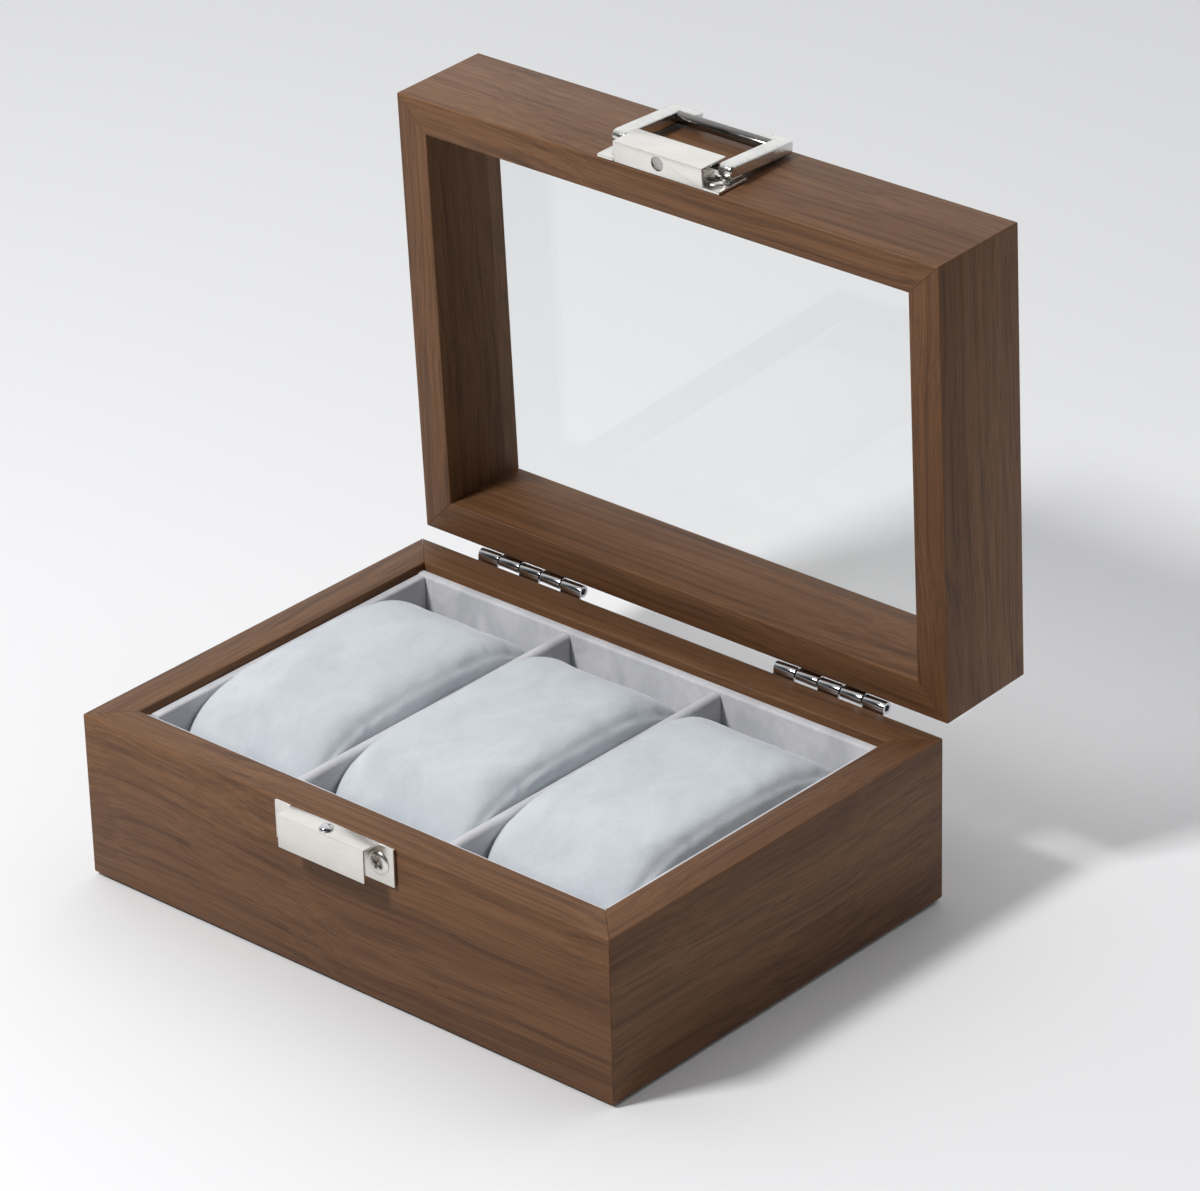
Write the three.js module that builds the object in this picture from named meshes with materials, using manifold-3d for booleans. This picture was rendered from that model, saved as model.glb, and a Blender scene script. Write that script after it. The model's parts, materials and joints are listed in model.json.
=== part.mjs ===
// Three-place watch box: veneered base with a velvet lining and three lift-out pillows, a deep glazed
// lid on two barrel hinges, and a nickel bail that snaps under a hooked catch on the front.
//
// Millimetres, +Z up, +X to the right, the front looks along -Y. The origin is the middle of the
// underside. The lid is shown open, with the bail lying folded on its front board.

import * as THREE from 'three';
import { mergeVertices } from 'three/addons/utils/BufferGeometryUtils.js';
import Module from 'manifold-3d';

const wasm = await Module();
wasm.setup();

// ---------------------------------------------------------------- driving dimensions

// Box
const BOX_LENGTH = 160;
const BOX_DEPTH = 114;
const BASE_HEIGHT = 42.3;
const LID_HEIGHT = 28.2;
const BASE_WALL = 9.2;
const LID_WALL = 8.6;
const BOTTOM_PANEL = 3;
const FELT_THICKNESS = 0.6;
const FELT_INSET = 2.5;

// Lid window
const LEDGE_DEPTH = 20;
const REBATE_RIM = 5.7;
const GLASS_THICKNESS = 2;

// Lining, dividers and pillows
const LINER_THICKNESS = 2.6;
const LINER_DROP = 1.8;
const LINER_FLOOR = 2;
const DIVIDER_THICKNESS = 3;
const DIVIDER_DROP = 2.4;
const PLACES = 3;
const PILLOW_SIDE_GAP = 0.4;
const STRAP_GAP = 5;
const PILLOW_PROUD = 3;
const PILLOW_EDGE = 4;
const PILLOW_STEPS = 28;
const PILLOW_SQUARENESS = 0.73;

// Lid pose and hinges
const LID_OPEN_DEGREES = 88;
const SEAM_GAP = 0.4;
const AXIS_BEHIND = 2;
const AXIS_ABOVE = 0.7;
const HINGE_SPACING = 92;
const BARREL_LENGTH = 32.5;
const BARREL_RADIUS = 1.45;
const HINGE_PIN_RADIUS = 0.65;
const KNUCKLES = 5;
const KNUCKLE_GAP = 0.4;
const LEAF_THICKNESS = 0.7;
const LEAF_HEIGHT = 14;
const LEAF_SCREW_SPACING = 20;
const LEAF_SCREW_DOWN = 8;

// Folded plate of the catch and of the clasp
const SHEET = 0.7;
const FLANGE_WIDTH = 36;
const FLANGE_HEIGHT = 9.6;
const HOOD_WIDTH = 26.2;
const HOOD_OUT = 5.3;
const SKIRT_HEIGHT = 8.4;
const PLATE_DROP = 0.1;
const STUD_RADIUS = 1.7;
const STUD_SHANK = 1;
const STUD_HEIGHT = 1;
const STUD_TAIL = 0.5;
const STUD_TAIL_RADIUS = 1.35;
const EAR_SPACING = 19;
const EAR_HALF_HEIGHT = 2;

// Bail
const PIVOT_UP = 6.3;
const ARM_WIDTH = 4;
const STUB_LENGTH = 9;
const STUB_DEPTH = 2.9;
const STUB_PAST_ROD = 3;
const ROD_RADIUS = 1.5;
const SPIGOT_RADIUS = 0.9;
const SPIGOT_LENGTH = 1.8;
const PIVOT_PIN_RADIUS = 0.8;
const PIVOT_PIN_LET_IN = 2.4;

// Screws
const PLATE_SCREW_SPACING = 27.4;
const PLATE_SCREW_DOWN = 4.7;
const PLATE_SCREW_HEAD = 2.9;
const LEAF_SCREW_HEAD = 2.1;
const SCREW_SHANK = 1.1;
const SCREW_LENGTH = 6;
const SCREW_POINT = 1.5;
const SCREW_HEAD_HEIGHT = 0.45;
const SCREW_CROWN_SHARE = 0.75;
const SCREW_RIM_SHARE = 0.4;
const SCREW_TIP_SHARE = 0.3;

// Clearances
const MITRE_GAP = 0.3;
const SEAT_GAP = 0.2;
const HEAD_GAP = 0.05;
const PIN_GAP = 0.3;
const GLASS_GAP = 0.3;
const HOOK_GAP = 0.3;
const ARM_GAP = 0.3;
const SKIRT_GAP = 0.4;
const BAIL_REST_GAP = 0.43;
const STUD_GAP = 0.15;
const BAIL_SIDE_GAP = 0.6;

// How far a cutter runs past the face it opens, and the sides of round work by size
const OVERCUT = 1;
const SIDES_LARGE = 24;
const SIDES_MIDDLE = 20;
const SIDES_SMALL = 16;
const SIDES_FINE = 12;

// ---------------------------------------------------------------- derived places

const frontY = -BOX_DEPTH / 2;
const backY = BOX_DEPTH / 2;
const boardBottomZ = FELT_THICKNESS + SEAT_GAP;
const lidRimZ = BASE_HEIGHT + SEAM_GAP;
const hingeY = backY + AXIS_BEHIND;
const hingeZ = BASE_HEIGHT + AXIS_ABOVE;
const linerHalfLength = BOX_LENGTH / 2 - BASE_WALL - SEAT_GAP;
const linerHalfDepth = BOX_DEPTH / 2 - BASE_WALL - SEAT_GAP;
const insideHalfLength = linerHalfLength - LINER_THICKNESS;
const insideHalfDepth = linerHalfDepth - LINER_THICKNESS;
const panelTopZ = boardBottomZ + BOTTOM_PANEL;
const floorTopZ = panelTopZ + SEAT_GAP + LINER_FLOOR;
const linerTopZ = BASE_HEIGHT - LINER_DROP;
const dividerTopZ = BASE_HEIGHT - DIVIDER_DROP;
const placeWidth = (2 * insideHalfLength - (PLACES - 1) * DIVIDER_THICKNESS) / PLACES;
const placePitch = placeWidth + DIVIDER_THICKNESS;
const pillowDepth = 2 * (insideHalfDepth - STRAP_GAP);

const catchSeamZ = BASE_HEIGHT - PLATE_DROP;
const claspSeamZ = lidRimZ + PLATE_DROP;
const plateScrewXs = [-PLATE_SCREW_SPACING / 2, PLATE_SCREW_SPACING / 2];
const hingeXs = { left: -HINGE_SPACING / 2, right: HINGE_SPACING / 2 };
const leafScrewOffsets = [-LEAF_SCREW_SPACING / 2, LEAF_SCREW_SPACING / 2];
const leafScrewZs = { base: hingeZ - LEAF_SCREW_DOWN, lid: hingeZ + LEAF_SCREW_DOWN };

// The stud's riveted tail just clears the skirt's inner face.
const studOut = HOOD_OUT - SHEET - STUD_GAP - STUD_TAIL_RADIUS;

// The pivot pin runs just inside the skirt, and the arms on it just clear the screws' heads.
const pivotOut = HOOD_OUT - SHEET - SKIRT_GAP - PIVOT_PIN_RADIUS;
const screwTopOut = SEAT_GAP + SHEET + HEAD_GAP + SCREW_HEAD_HEIGHT;
const armThickness = 2 * (pivotOut - screwTopOut - ARM_GAP);
const pivotY = frontY - pivotOut;
const pivotZ = claspSeamZ + PIVOT_UP;
const hookDrop = pivotZ - (catchSeamZ - SKIRT_HEIGHT);
const rodReach = Math.hypot(hookDrop, HOOD_OUT - pivotOut) + HOOK_GAP + ROD_RADIUS;
const bailReach = rodReach + STUB_PAST_ROD;
const bailTilt = Math.asin((pivotOut - armThickness / 2 - BAIL_REST_GAP) / bailReach);
const armInnerX = HOOD_WIDTH / 2 + BAIL_SIDE_GAP;
const armOuterX = armInnerX + ARM_WIDTH;

// ---------------------------------------------------------------- materials

const veneer = new THREE.MeshStandardMaterial({ color: 0x70503c, roughness: 0.5, metalness: 0 });
const fibreboard = new THREE.MeshStandardMaterial({ color: 0x8a6f50, roughness: 0.85, metalness: 0 });
const felt = new THREE.MeshStandardMaterial({ color: 0x2c2724, roughness: 1, metalness: 0 });
const velvet = new THREE.MeshStandardMaterial({ color: 0xb9babd, roughness: 0.95, metalness: 0 });
const pillowVelvet = new THREE.MeshStandardMaterial({ color: 0xc3c7cb, roughness: 0.95, metalness: 0 });
const glass = new THREE.MeshStandardMaterial({ color: 0xe6eef0, roughness: 0.03, metalness: 0 });
const nickel = new THREE.MeshStandardMaterial({ color: 0xd2d0ca, roughness: 0.3, metalness: 1 });
const chrome = new THREE.MeshStandardMaterial({ color: 0xc9cbce, roughness: 0.12, metalness: 1 });
const steel = new THREE.MeshStandardMaterial({ color: 0x9a9a9c, roughness: 0.25, metalness: 1 });

// ---------------------------------------------------------------- shape helpers

// A geometry as a manifold solid.
function toSolid(geometry) {
  const bare = geometry.clone();
  bare.deleteAttribute('normal');
  bare.deleteAttribute('uv');
  const merged = mergeVertices(bare, 1e-4);
  const mesh = new wasm.Mesh({
    numProp: 3,
    vertProperties: Float32Array.from(merged.attributes.position.array),
    triVerts: Uint32Array.from(merged.index.array),
  });
  return new wasm.Manifold(mesh);
}

// A manifold solid as a geometry.
function toGeometry(solid) {
  const mesh = solid.getMesh();
  const geometry = new THREE.BufferGeometry();
  geometry.setAttribute('position', new THREE.BufferAttribute(Float32Array.from(mesh.vertProperties), 3));
  geometry.setIndex(Array.from(mesh.triVerts));
  geometry.computeVertexNormals();
  return geometry;
}

// The joined geometries, less the cutters.
function carve(pieces, cutters = []) {
  let solid = toSolid(pieces[0]);
  for (const piece of pieces.slice(1)) {
    solid = solid.add(toSolid(piece));
  }
  for (const cutter of cutters) {
    solid = solid.subtract(toSolid(cutter));
  }
  return toGeometry(solid);
}

// A box between two values on each axis, in either order.
function block([x0, x1], [y0, y1], [z0, z1]) {
  const geometry = new THREE.BoxGeometry(Math.abs(x1 - x0), Math.abs(y1 - y0), Math.abs(z1 - z0));
  return geometry.translate((x0 + x1) / 2, (y0 + y1) / 2, (z0 + z1) / 2);
}

// A cylinder along X between two values.
function rodX(radius, [x0, x1], y, z, sides = SIDES_MIDDLE) {
  const geometry = new THREE.CylinderGeometry(radius, radius, Math.abs(x1 - x0), sides);
  return geometry.rotateZ(Math.PI / 2).translate((x0 + x1) / 2, y, z);
}

// A cylinder along Y between two values.
function rodY(radius, x, [y0, y1], z, sides = SIDES_SMALL) {
  const geometry = new THREE.CylinderGeometry(radius, radius, Math.abs(y1 - y0), sides);
  return geometry.translate(x, (y0 + y1) / 2, z);
}

// A cylinder along Z between two values.
function rodZ(radius, x, y, [z0, z1], sides = SIDES_MIDDLE) {
  const geometry = new THREE.CylinderGeometry(radius, radius, Math.abs(z1 - z0), sides);
  return geometry.rotateX(Math.PI / 2).translate(x, y, (z0 + z1) / 2);
}

// A mitred board along X: the section is given as points of depth in from the outer face and height,
// anticlockwise, and each end is cut back by that depth so that four boards close at the corners.
function mitredBoard(length, section) {
  const outline = new THREE.Shape(section.map(([inward, height]) => new THREE.Vector2(inward, height)));
  const geometry = new THREE.ExtrudeGeometry(outline, { depth: 1, bevelEnabled: false });
  const points = geometry.attributes.position;
  const cutBack = MITRE_GAP / Math.SQRT2;
  for (let i = 0; i < points.count; i += 1) {
    const inward = points.getX(i);
    const height = points.getY(i);
    const halfLength = length / 2 - inward - cutBack;
    const side = points.getZ(i) > 0.5 ? 1 : -1;
    points.setXYZ(i, side * halfLength, inward, height);
  }
  return geometry;
}

// The four places of a frame's boards: name, length, distance of the outer face and turn about Z.
function frameSides() {
  return [
    { side: 'front', length: BOX_LENGTH, out: BOX_DEPTH / 2, turn: 0 },
    { side: 'right', length: BOX_DEPTH, out: BOX_LENGTH / 2, turn: Math.PI / 2 },
    { side: 'back', length: BOX_LENGTH, out: BOX_DEPTH / 2, turn: Math.PI },
    { side: 'left', length: BOX_DEPTH, out: BOX_LENGTH / 2, turn: -Math.PI / 2 },
  ];
}

// Adds a named mesh to a group.
function addPiece(parent, name, geometry, material) {
  const mesh = new THREE.Mesh(geometry, material);
  mesh.name = name;
  parent.add(mesh);
  return mesh;
}

// A screw along +Y whose head sits at the origin.
function screwGeometry(headRadius) {
  const profile = [
    [0, -SCREW_HEAD_HEIGHT],
    [headRadius * SCREW_CROWN_SHARE, -SCREW_HEAD_HEIGHT],
    [headRadius, -SCREW_HEAD_HEIGHT * SCREW_RIM_SHARE],
    [headRadius, 0],
    [SCREW_SHANK, 0],
    [SCREW_SHANK, SCREW_LENGTH - SCREW_POINT],
    [SCREW_SHANK * SCREW_TIP_SHARE, SCREW_LENGTH],
    [0, SCREW_LENGTH],
  ];
  const points = profile.map(([radius, along]) => new THREE.Vector2(radius, along));
  return new THREE.LatheGeometry(points, SIDES_SMALL);
}

// A screw whose head sits on a plate's outer face at headY. facing is -1 for the front, 1 for the back.
function addScrew(parent, name, headRadius, x, headY, z, facing) {
  const screw = screwGeometry(headRadius);
  if (facing > 0) {
    screw.rotateZ(Math.PI);
  }
  screw.translate(x, headY + facing * HEAD_GAP, z);
  addPiece(parent, name, screw, nickel);
}

// The pilot hole of a screw in a board whose outer face is at y.
function pilotHole(x, y, z, facing) {
  return rodY(SCREW_SHANK + PIN_GAP, x, [y + facing * OVERCUT, y - facing * (SCREW_LENGTH + PIN_GAP)], z);
}

// ---------------------------------------------------------------- boards

// The pilot holes in one frame's front and back boards, for its plate and its two hinge leaves.
function boardHoles(side, plateScrewZ, leafScrewZ) {
  if (side === 'front') {
    return plateScrewXs.map((x) => pilotHole(x, frontY, plateScrewZ, -1));
  }
  if (side === 'back') {
    const places = Object.values(hingeXs).flatMap((x) => leafScrewOffsets.map((offset) => x + offset));
    return places.map((x) => pilotHole(x, backY, leafScrewZ, 1));
  }
  return [];
}

// Four boards round a frame, all of one section.
function addFrame(parent, prefix, section, plateScrewZ) {
  for (const { side, length, out, turn } of frameSides()) {
    const board = mitredBoard(length, section).translate(0, -out, 0).rotateZ(turn);
    const holes = boardHoles(side, plateScrewZ, leafScrewZs[prefix]);
    addPiece(parent, `${prefix}_${side}_board`, carve([board], holes), veneer);
  }
}

// ---------------------------------------------------------------- base

function addBaseBoards(parent) {
  const section = [
    [0, boardBottomZ],
    [BASE_WALL, boardBottomZ],
    [BASE_WALL, BASE_HEIGHT],
    [0, BASE_HEIGHT],
  ];
  addFrame(parent, 'base', section, catchSeamZ - PLATE_SCREW_DOWN);
}

function addBottom(parent) {
  const feltX = BOX_LENGTH / 2 - FELT_INSET;
  const feltY = BOX_DEPTH / 2 - FELT_INSET;
  addPiece(parent, 'underside_felt', block([-feltX, feltX], [-feltY, feltY], [0, FELT_THICKNESS]), felt);
  const panelX = [-linerHalfLength, linerHalfLength];
  const panelY = [-linerHalfDepth, linerHalfDepth];
  addPiece(parent, 'base_bottom_panel', block(panelX, panelY, [boardBottomZ, panelTopZ]), fibreboard);
}

function addLining(parent) {
  const wallZ = [floorTopZ + SEAT_GAP, linerTopZ];
  const acrossX = [-linerHalfLength, linerHalfLength];
  const floor = block(acrossX, [-linerHalfDepth, linerHalfDepth], [panelTopZ + SEAT_GAP, floorTopZ]);
  addPiece(parent, 'liner_floor', floor, velvet);
  for (const [side, sign] of [['front', -1], ['back', 1]]) {
    const wallY = [sign * insideHalfDepth, sign * linerHalfDepth];
    addPiece(parent, `liner_${side}`, block(acrossX, wallY, wallZ), velvet);
  }
  const sideReach = insideHalfDepth - SEAT_GAP;
  for (const [side, sign] of [['left', -1], ['right', 1]]) {
    const wallX = [sign * insideHalfLength, sign * linerHalfLength];
    addPiece(parent, `liner_${side}`, block(wallX, [-sideReach, sideReach], wallZ), velvet);
  }
}

function addDividers(parent) {
  const reach = insideHalfDepth - SEAT_GAP;
  for (const [side, sign] of [['left', -1], ['right', 1]]) {
    const middle = (sign * placePitch) / 2;
    const boardX = [middle - DIVIDER_THICKNESS / 2, middle + DIVIDER_THICKNESS / 2];
    const board = block(boardX, [-reach, reach], [floorTopZ + SEAT_GAP, dividerTopZ]);
    addPiece(parent, `divider_${side}`, board, velvet);
  }
}

// ---------------------------------------------------------------- pillows

// A point of a squared oval, power 1 being an ellipse and a smaller power a squarer one.
function ovalPoint(angle, halfAcross, halfUp, power) {
  const across = Math.sign(Math.cos(angle)) * Math.abs(Math.cos(angle)) ** power;
  const up = Math.sign(Math.sin(angle)) * Math.abs(Math.sin(angle)) ** power;
  return new THREE.Vector2(across * halfAcross, up * halfUp);
}

// An oval cushion whose long way runs front to back and whose two ends are eased over.
function pillowGeometry() {
  const bottomZ = floorTopZ + SEAT_GAP;
  const topZ = BASE_HEIGHT + PILLOW_PROUD;
  const halfUp = (topZ - bottomZ) / 2 - PILLOW_EDGE;
  const halfAcross = pillowDepth / 2 - PILLOW_EDGE;
  const straight = placeWidth - 2 * PILLOW_SIDE_GAP - 2 * PILLOW_EDGE;
  const outline = Array.from({ length: PILLOW_STEPS }, (_, i) => {
    return ovalPoint((2 * Math.PI * i) / PILLOW_STEPS, halfAcross, halfUp, PILLOW_SQUARENESS);
  });
  const geometry = new THREE.ExtrudeGeometry(new THREE.Shape(outline), {
    depth: straight,
    bevelEnabled: true,
    bevelThickness: PILLOW_EDGE,
    bevelSize: PILLOW_EDGE,
    bevelSegments: 3,
  });
  geometry.translate(0, 0, -straight / 2).rotateY(Math.PI / 2).rotateX(Math.PI / 2);
  return geometry.translate(0, 0, (bottomZ + topZ) / 2);
}

function addPillows(parent) {
  ['left', 'middle', 'right'].forEach((name, index) => {
    const pillow = addPiece(parent, `pillow_${name}`, pillowGeometry(), pillowVelvet);
    pillow.position.x = (index - (PLACES - 1) / 2) * placePitch;
  });
}

// ---------------------------------------------------------------- catch and clasp

const plateBackY = frontY - SEAT_GAP;
const flangeFaceY = plateBackY - SHEET;
const skirtFaceY = frontY - HOOD_OUT;

// The folded plate's pieces and cutters: a flange on the board, a ledge out at the seam and a skirt
// turned back along the board. away is 1 or -1, the way the plate runs in Z from the seam.
function foldedPlate(seamZ, away, ledgeHoleRadius) {
  const span = (from, to) => [seamZ + away * from, seamZ + away * to];
  const flangeX = [-FLANGE_WIDTH / 2, FLANGE_WIDTH / 2];
  const hoodX = [-HOOD_WIDTH / 2, HOOD_WIDTH / 2];
  const pieces = [
    block(flangeX, [flangeFaceY, plateBackY], span(0, FLANGE_HEIGHT)),
    block(hoodX, [skirtFaceY, plateBackY], span(0, SHEET)),
    block(hoodX, [skirtFaceY, skirtFaceY + SHEET], span(0, SKIRT_HEIGHT)),
  ];
  const screwZ = seamZ + away * PLATE_SCREW_DOWN;
  const cutters = plateScrewXs.map((x) => {
    return rodY(SCREW_SHANK + PIN_GAP, x, [plateBackY + OVERCUT, flangeFaceY - OVERCUT], screwZ);
  });
  cutters.push(rodZ(ledgeHoleRadius, 0, frontY - studOut, span(-OVERCUT, SHEET + OVERCUT)));
  return { pieces, cutters };
}

function addPlateScrews(parent, prefix, z) {
  addScrew(parent, `${prefix}_screw_left`, PLATE_SCREW_HEAD, plateScrewXs[0], flangeFaceY, z, -1);
  addScrew(parent, `${prefix}_screw_right`, PLATE_SCREW_HEAD, plateScrewXs[1], flangeFaceY, z, -1);
}

// The stud is riveted through the ledge and finds the clasp's hole as the lid comes down.
function studGeometry() {
  const tailTop = -SHEET - STUD_GAP;
  const profile = [
    [0, tailTop - STUD_TAIL],
    [STUD_TAIL_RADIUS, tailTop - STUD_TAIL],
    [STUD_TAIL_RADIUS, tailTop],
    [STUD_SHANK, tailTop],
    [STUD_SHANK, STUD_GAP],
    [STUD_RADIUS, STUD_GAP],
    [STUD_RADIUS, STUD_HEIGHT * 0.5],
    [STUD_RADIUS * 0.75, STUD_HEIGHT * 0.85],
    [STUD_RADIUS * 0.35, STUD_HEIGHT],
    [0, STUD_HEIGHT],
  ];
  const points = profile.map(([radius, height]) => new THREE.Vector2(radius, height));
  return new THREE.LatheGeometry(points, SIDES_MIDDLE).rotateX(Math.PI / 2);
}

function addCatch(parent) {
  const { pieces, cutters } = foldedPlate(catchSeamZ, -1, STUD_SHANK + PIN_GAP);
  addPiece(parent, 'catch_plate', carve(pieces, cutters), nickel);
  addPlateScrews(parent, 'catch', catchSeamZ - PLATE_SCREW_DOWN);
  const stud = addPiece(parent, 'catch_stud', studGeometry(), chrome);
  stud.position.set(0, frontY - studOut, catchSeamZ);
}

// The clasp is the same plate turned over, with two ears that carry the bail's pivot pin.
function addClasp(parent) {
  const { pieces, cutters } = foldedPlate(claspSeamZ, 1, STUD_RADIUS + PIN_GAP);
  const earY = [skirtFaceY + SHEET / 2, flangeFaceY + SHEET / 2];
  const earZ = [pivotZ - EAR_HALF_HEIGHT, pivotZ + EAR_HALF_HEIGHT];
  for (const x of [-EAR_SPACING / 2, EAR_SPACING / 2]) {
    pieces.push(block([x - SHEET / 2, x + SHEET / 2], earY, earZ));
  }
  const earOuterX = EAR_SPACING / 2 + SHEET;
  cutters.push(rodX(PIVOT_PIN_RADIUS + PIN_GAP, [-earOuterX, earOuterX], pivotY, pivotZ));
  addPiece(parent, 'clasp_plate', carve(pieces, cutters), nickel);
  addPlateScrews(parent, 'clasp', claspSeamZ + PLATE_SCREW_DOWN);
}

// ---------------------------------------------------------------- bail

// The frame is drawn about the pivot, with the arms along +Z and their section across Y.
function bailFrameGeometry() {
  const halfThickness = armThickness / 2;
  const thickness = [-halfThickness, halfThickness];
  const pieces = [];
  const cutters = [];
  for (const sign of [-1, 1]) {
    const armX = [sign * armInnerX, sign * armOuterX];
    const stubX = [sign * (armOuterX - STUB_LENGTH), sign * armOuterX];
    pieces.push(block(armX, thickness, [0, bailReach]));
    pieces.push(rodX(halfThickness, armX, 0, 0, SIDES_LARGE));
    pieces.push(block(stubX, thickness, [bailReach - STUB_DEPTH, bailReach]));
    const pinX = [sign * (armInnerX - OVERCUT), sign * (armInnerX + PIVOT_PIN_LET_IN + PIN_GAP)];
    cutters.push(rodX(PIVOT_PIN_RADIUS + PIN_GAP, pinX, 0, 0));
    const spigotX = [sign * (armInnerX - OVERCUT), sign * (armInnerX + SPIGOT_LENGTH + PIN_GAP)];
    cutters.push(rodX(SPIGOT_RADIUS + PIN_GAP, spigotX, 0, rodReach));
  }
  cutters.push(rodX(ROD_RADIUS + PIN_GAP, [-armInnerX, armInnerX], 0, rodReach, SIDES_LARGE));
  return { pieces, cutters };
}

// The two halves of the frame are joined by the rod alone, so each half is a piece of its own.
function addBail(parent) {
  const { pieces, cutters } = bailFrameGeometry();
  const half = pieces.length / 2;
  addPiece(parent, 'bail_arm_left', carve(pieces.slice(0, half), cutters), nickel);
  addPiece(parent, 'bail_arm_right', carve(pieces.slice(half), cutters), nickel);
  const bodyX = armInnerX - PIN_GAP;
  const spigotX = armInnerX + SPIGOT_LENGTH;
  const rod = carve([
    rodX(ROD_RADIUS, [-bodyX, bodyX], 0, rodReach, SIDES_LARGE),
    rodX(SPIGOT_RADIUS, [-spigotX, spigotX], 0, rodReach),
  ]);
  addPiece(parent, 'bail_rod', rod, steel);
}

function addPivotPin(parent) {
  const pinX = armInnerX + PIVOT_PIN_LET_IN;
  addPiece(parent, 'bail_pivot_pin', rodX(PIVOT_PIN_RADIUS, [-pinX, pinX], pivotY, pivotZ), steel);
}

// ---------------------------------------------------------------- hinges

// One leaf with its knuckles. first is the first knuckle that belongs to it, and towards is the way
// the leaf runs in Z from the pin.
function leafGeometry(middleX, first, towards) {
  const knuckle = (BARREL_LENGTH - (KNUCKLES - 1) * KNUCKLE_GAP) / KNUCKLES;
  const leafY = [backY + SEAT_GAP, backY + SEAT_GAP + LEAF_THICKNESS];
  const leafX = [middleX - BARREL_LENGTH / 2, middleX + BARREL_LENGTH / 2];
  const shoulder = BARREL_RADIUS + PIN_GAP;
  const pieces = [block(leafX, leafY, [hingeZ + towards * shoulder, hingeZ + towards * LEAF_HEIGHT])];
  for (let index = first; index < KNUCKLES; index += 2) {
    const start = leafX[0] + index * (knuckle + KNUCKLE_GAP);
    const knuckleX = [start, start + knuckle];
    pieces.push(block(knuckleX, leafY, [hingeZ, hingeZ + towards * (shoulder + LEAF_THICKNESS)]));
    pieces.push(block(knuckleX, [leafY[0], hingeY], [hingeZ, hingeZ + towards * LEAF_THICKNESS]));
    pieces.push(rodX(BARREL_RADIUS, knuckleX, hingeY, hingeZ, SIDES_LARGE));
  }
  const boreX = [leafX[0] - OVERCUT, leafX[1] + OVERCUT];
  const cutters = [rodX(HINGE_PIN_RADIUS + PIN_GAP, boreX, hingeY, hingeZ)];
  const holeY = [leafY[0] - OVERCUT, leafY[1] + OVERCUT];
  const screwZ = hingeZ + towards * LEAF_SCREW_DOWN;
  for (const offset of leafScrewOffsets) {
    cutters.push(rodY(SCREW_SHANK + PIN_GAP, middleX + offset, holeY, screwZ));
  }
  return carve(pieces, cutters);
}

function addLeaves(parent, prefix, first, towards) {
  const faceY = backY + SEAT_GAP + LEAF_THICKNESS;
  for (const [side, middleX] of Object.entries(hingeXs)) {
    addPiece(parent, `hinge_${side}_${prefix}_leaf`, leafGeometry(middleX, first, towards), chrome);
    leafScrewOffsets.forEach((offset, index) => {
      const name = `hinge_${side}_${prefix}_screw_${index + 1}`;
      addScrew(parent, name, LEAF_SCREW_HEAD, middleX + offset, faceY, leafScrewZs[prefix], 1);
    });
  }
}

function addHingePins(parent) {
  for (const [side, middleX] of Object.entries(hingeXs)) {
    const pinX = [middleX - BARREL_LENGTH / 2 + PIN_GAP, middleX + BARREL_LENGTH / 2 - PIN_GAP];
    addPiece(parent, `hinge_${side}_pin`, rodX(HINGE_PIN_RADIUS, pinX, hingeY, hingeZ, SIDES_FINE), steel);
  }
}

// ---------------------------------------------------------------- lid

function addLidBoards(parent) {
  const section = [
    [0, lidRimZ],
    [LID_WALL, lidRimZ],
    [LID_WALL, lidRimZ + LEDGE_DEPTH],
    [REBATE_RIM, lidRimZ + LEDGE_DEPTH],
    [REBATE_RIM, lidRimZ + LID_HEIGHT],
    [0, lidRimZ + LID_HEIGHT],
  ];
  addFrame(parent, 'lid', section, claspSeamZ + PLATE_SCREW_DOWN);
}

function addGlass(parent) {
  const halfLength = BOX_LENGTH / 2 - REBATE_RIM - GLASS_GAP;
  const halfDepth = BOX_DEPTH / 2 - REBATE_RIM - GLASS_GAP;
  const bottomZ = lidRimZ + LEDGE_DEPTH + SEAT_GAP;
  const paneZ = [bottomZ, bottomZ + GLASS_THICKNESS];
  addPiece(parent, 'lid_glass', block([-halfLength, halfLength], [-halfDepth, halfDepth], paneZ), glass);
}

// ---------------------------------------------------------------- assembly

// A group that turns about a point, whose children are placed as if it weren't turned.
function turnedGroup(parent, pivot, angle) {
  const turned = new THREE.Group();
  turned.position.copy(pivot);
  turned.rotation.x = angle;
  parent.add(turned);
  const inner = new THREE.Group();
  inner.position.copy(pivot).negate();
  turned.add(inner);
  return inner;
}

const box = new THREE.Group();
addBaseBoards(box);
addBottom(box);
addLining(box);
addDividers(box);
addPillows(box);
addCatch(box);
addLeaves(box, 'base', 0, -1);
addHingePins(box);

const lidAngle = THREE.MathUtils.degToRad(-LID_OPEN_DEGREES);
const lid = turnedGroup(box, new THREE.Vector3(0, hingeY, hingeZ), lidAngle);
addLidBoards(lid);
addGlass(lid);
addClasp(lid);
addPivotPin(lid);
addLeaves(lid, 'lid', 1, 1);

const bail = new THREE.Group();
bail.position.set(0, pivotY, pivotZ);
bail.rotation.x = -bailTilt;
lid.add(bail);
addBail(bail);

export default box;
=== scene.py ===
import json
import math

import bmesh
import bpy
from bpy.props import FloatProperty, FloatVectorProperty, IntProperty, PointerProperty
from mathutils import Matrix, Vector, noise


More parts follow.
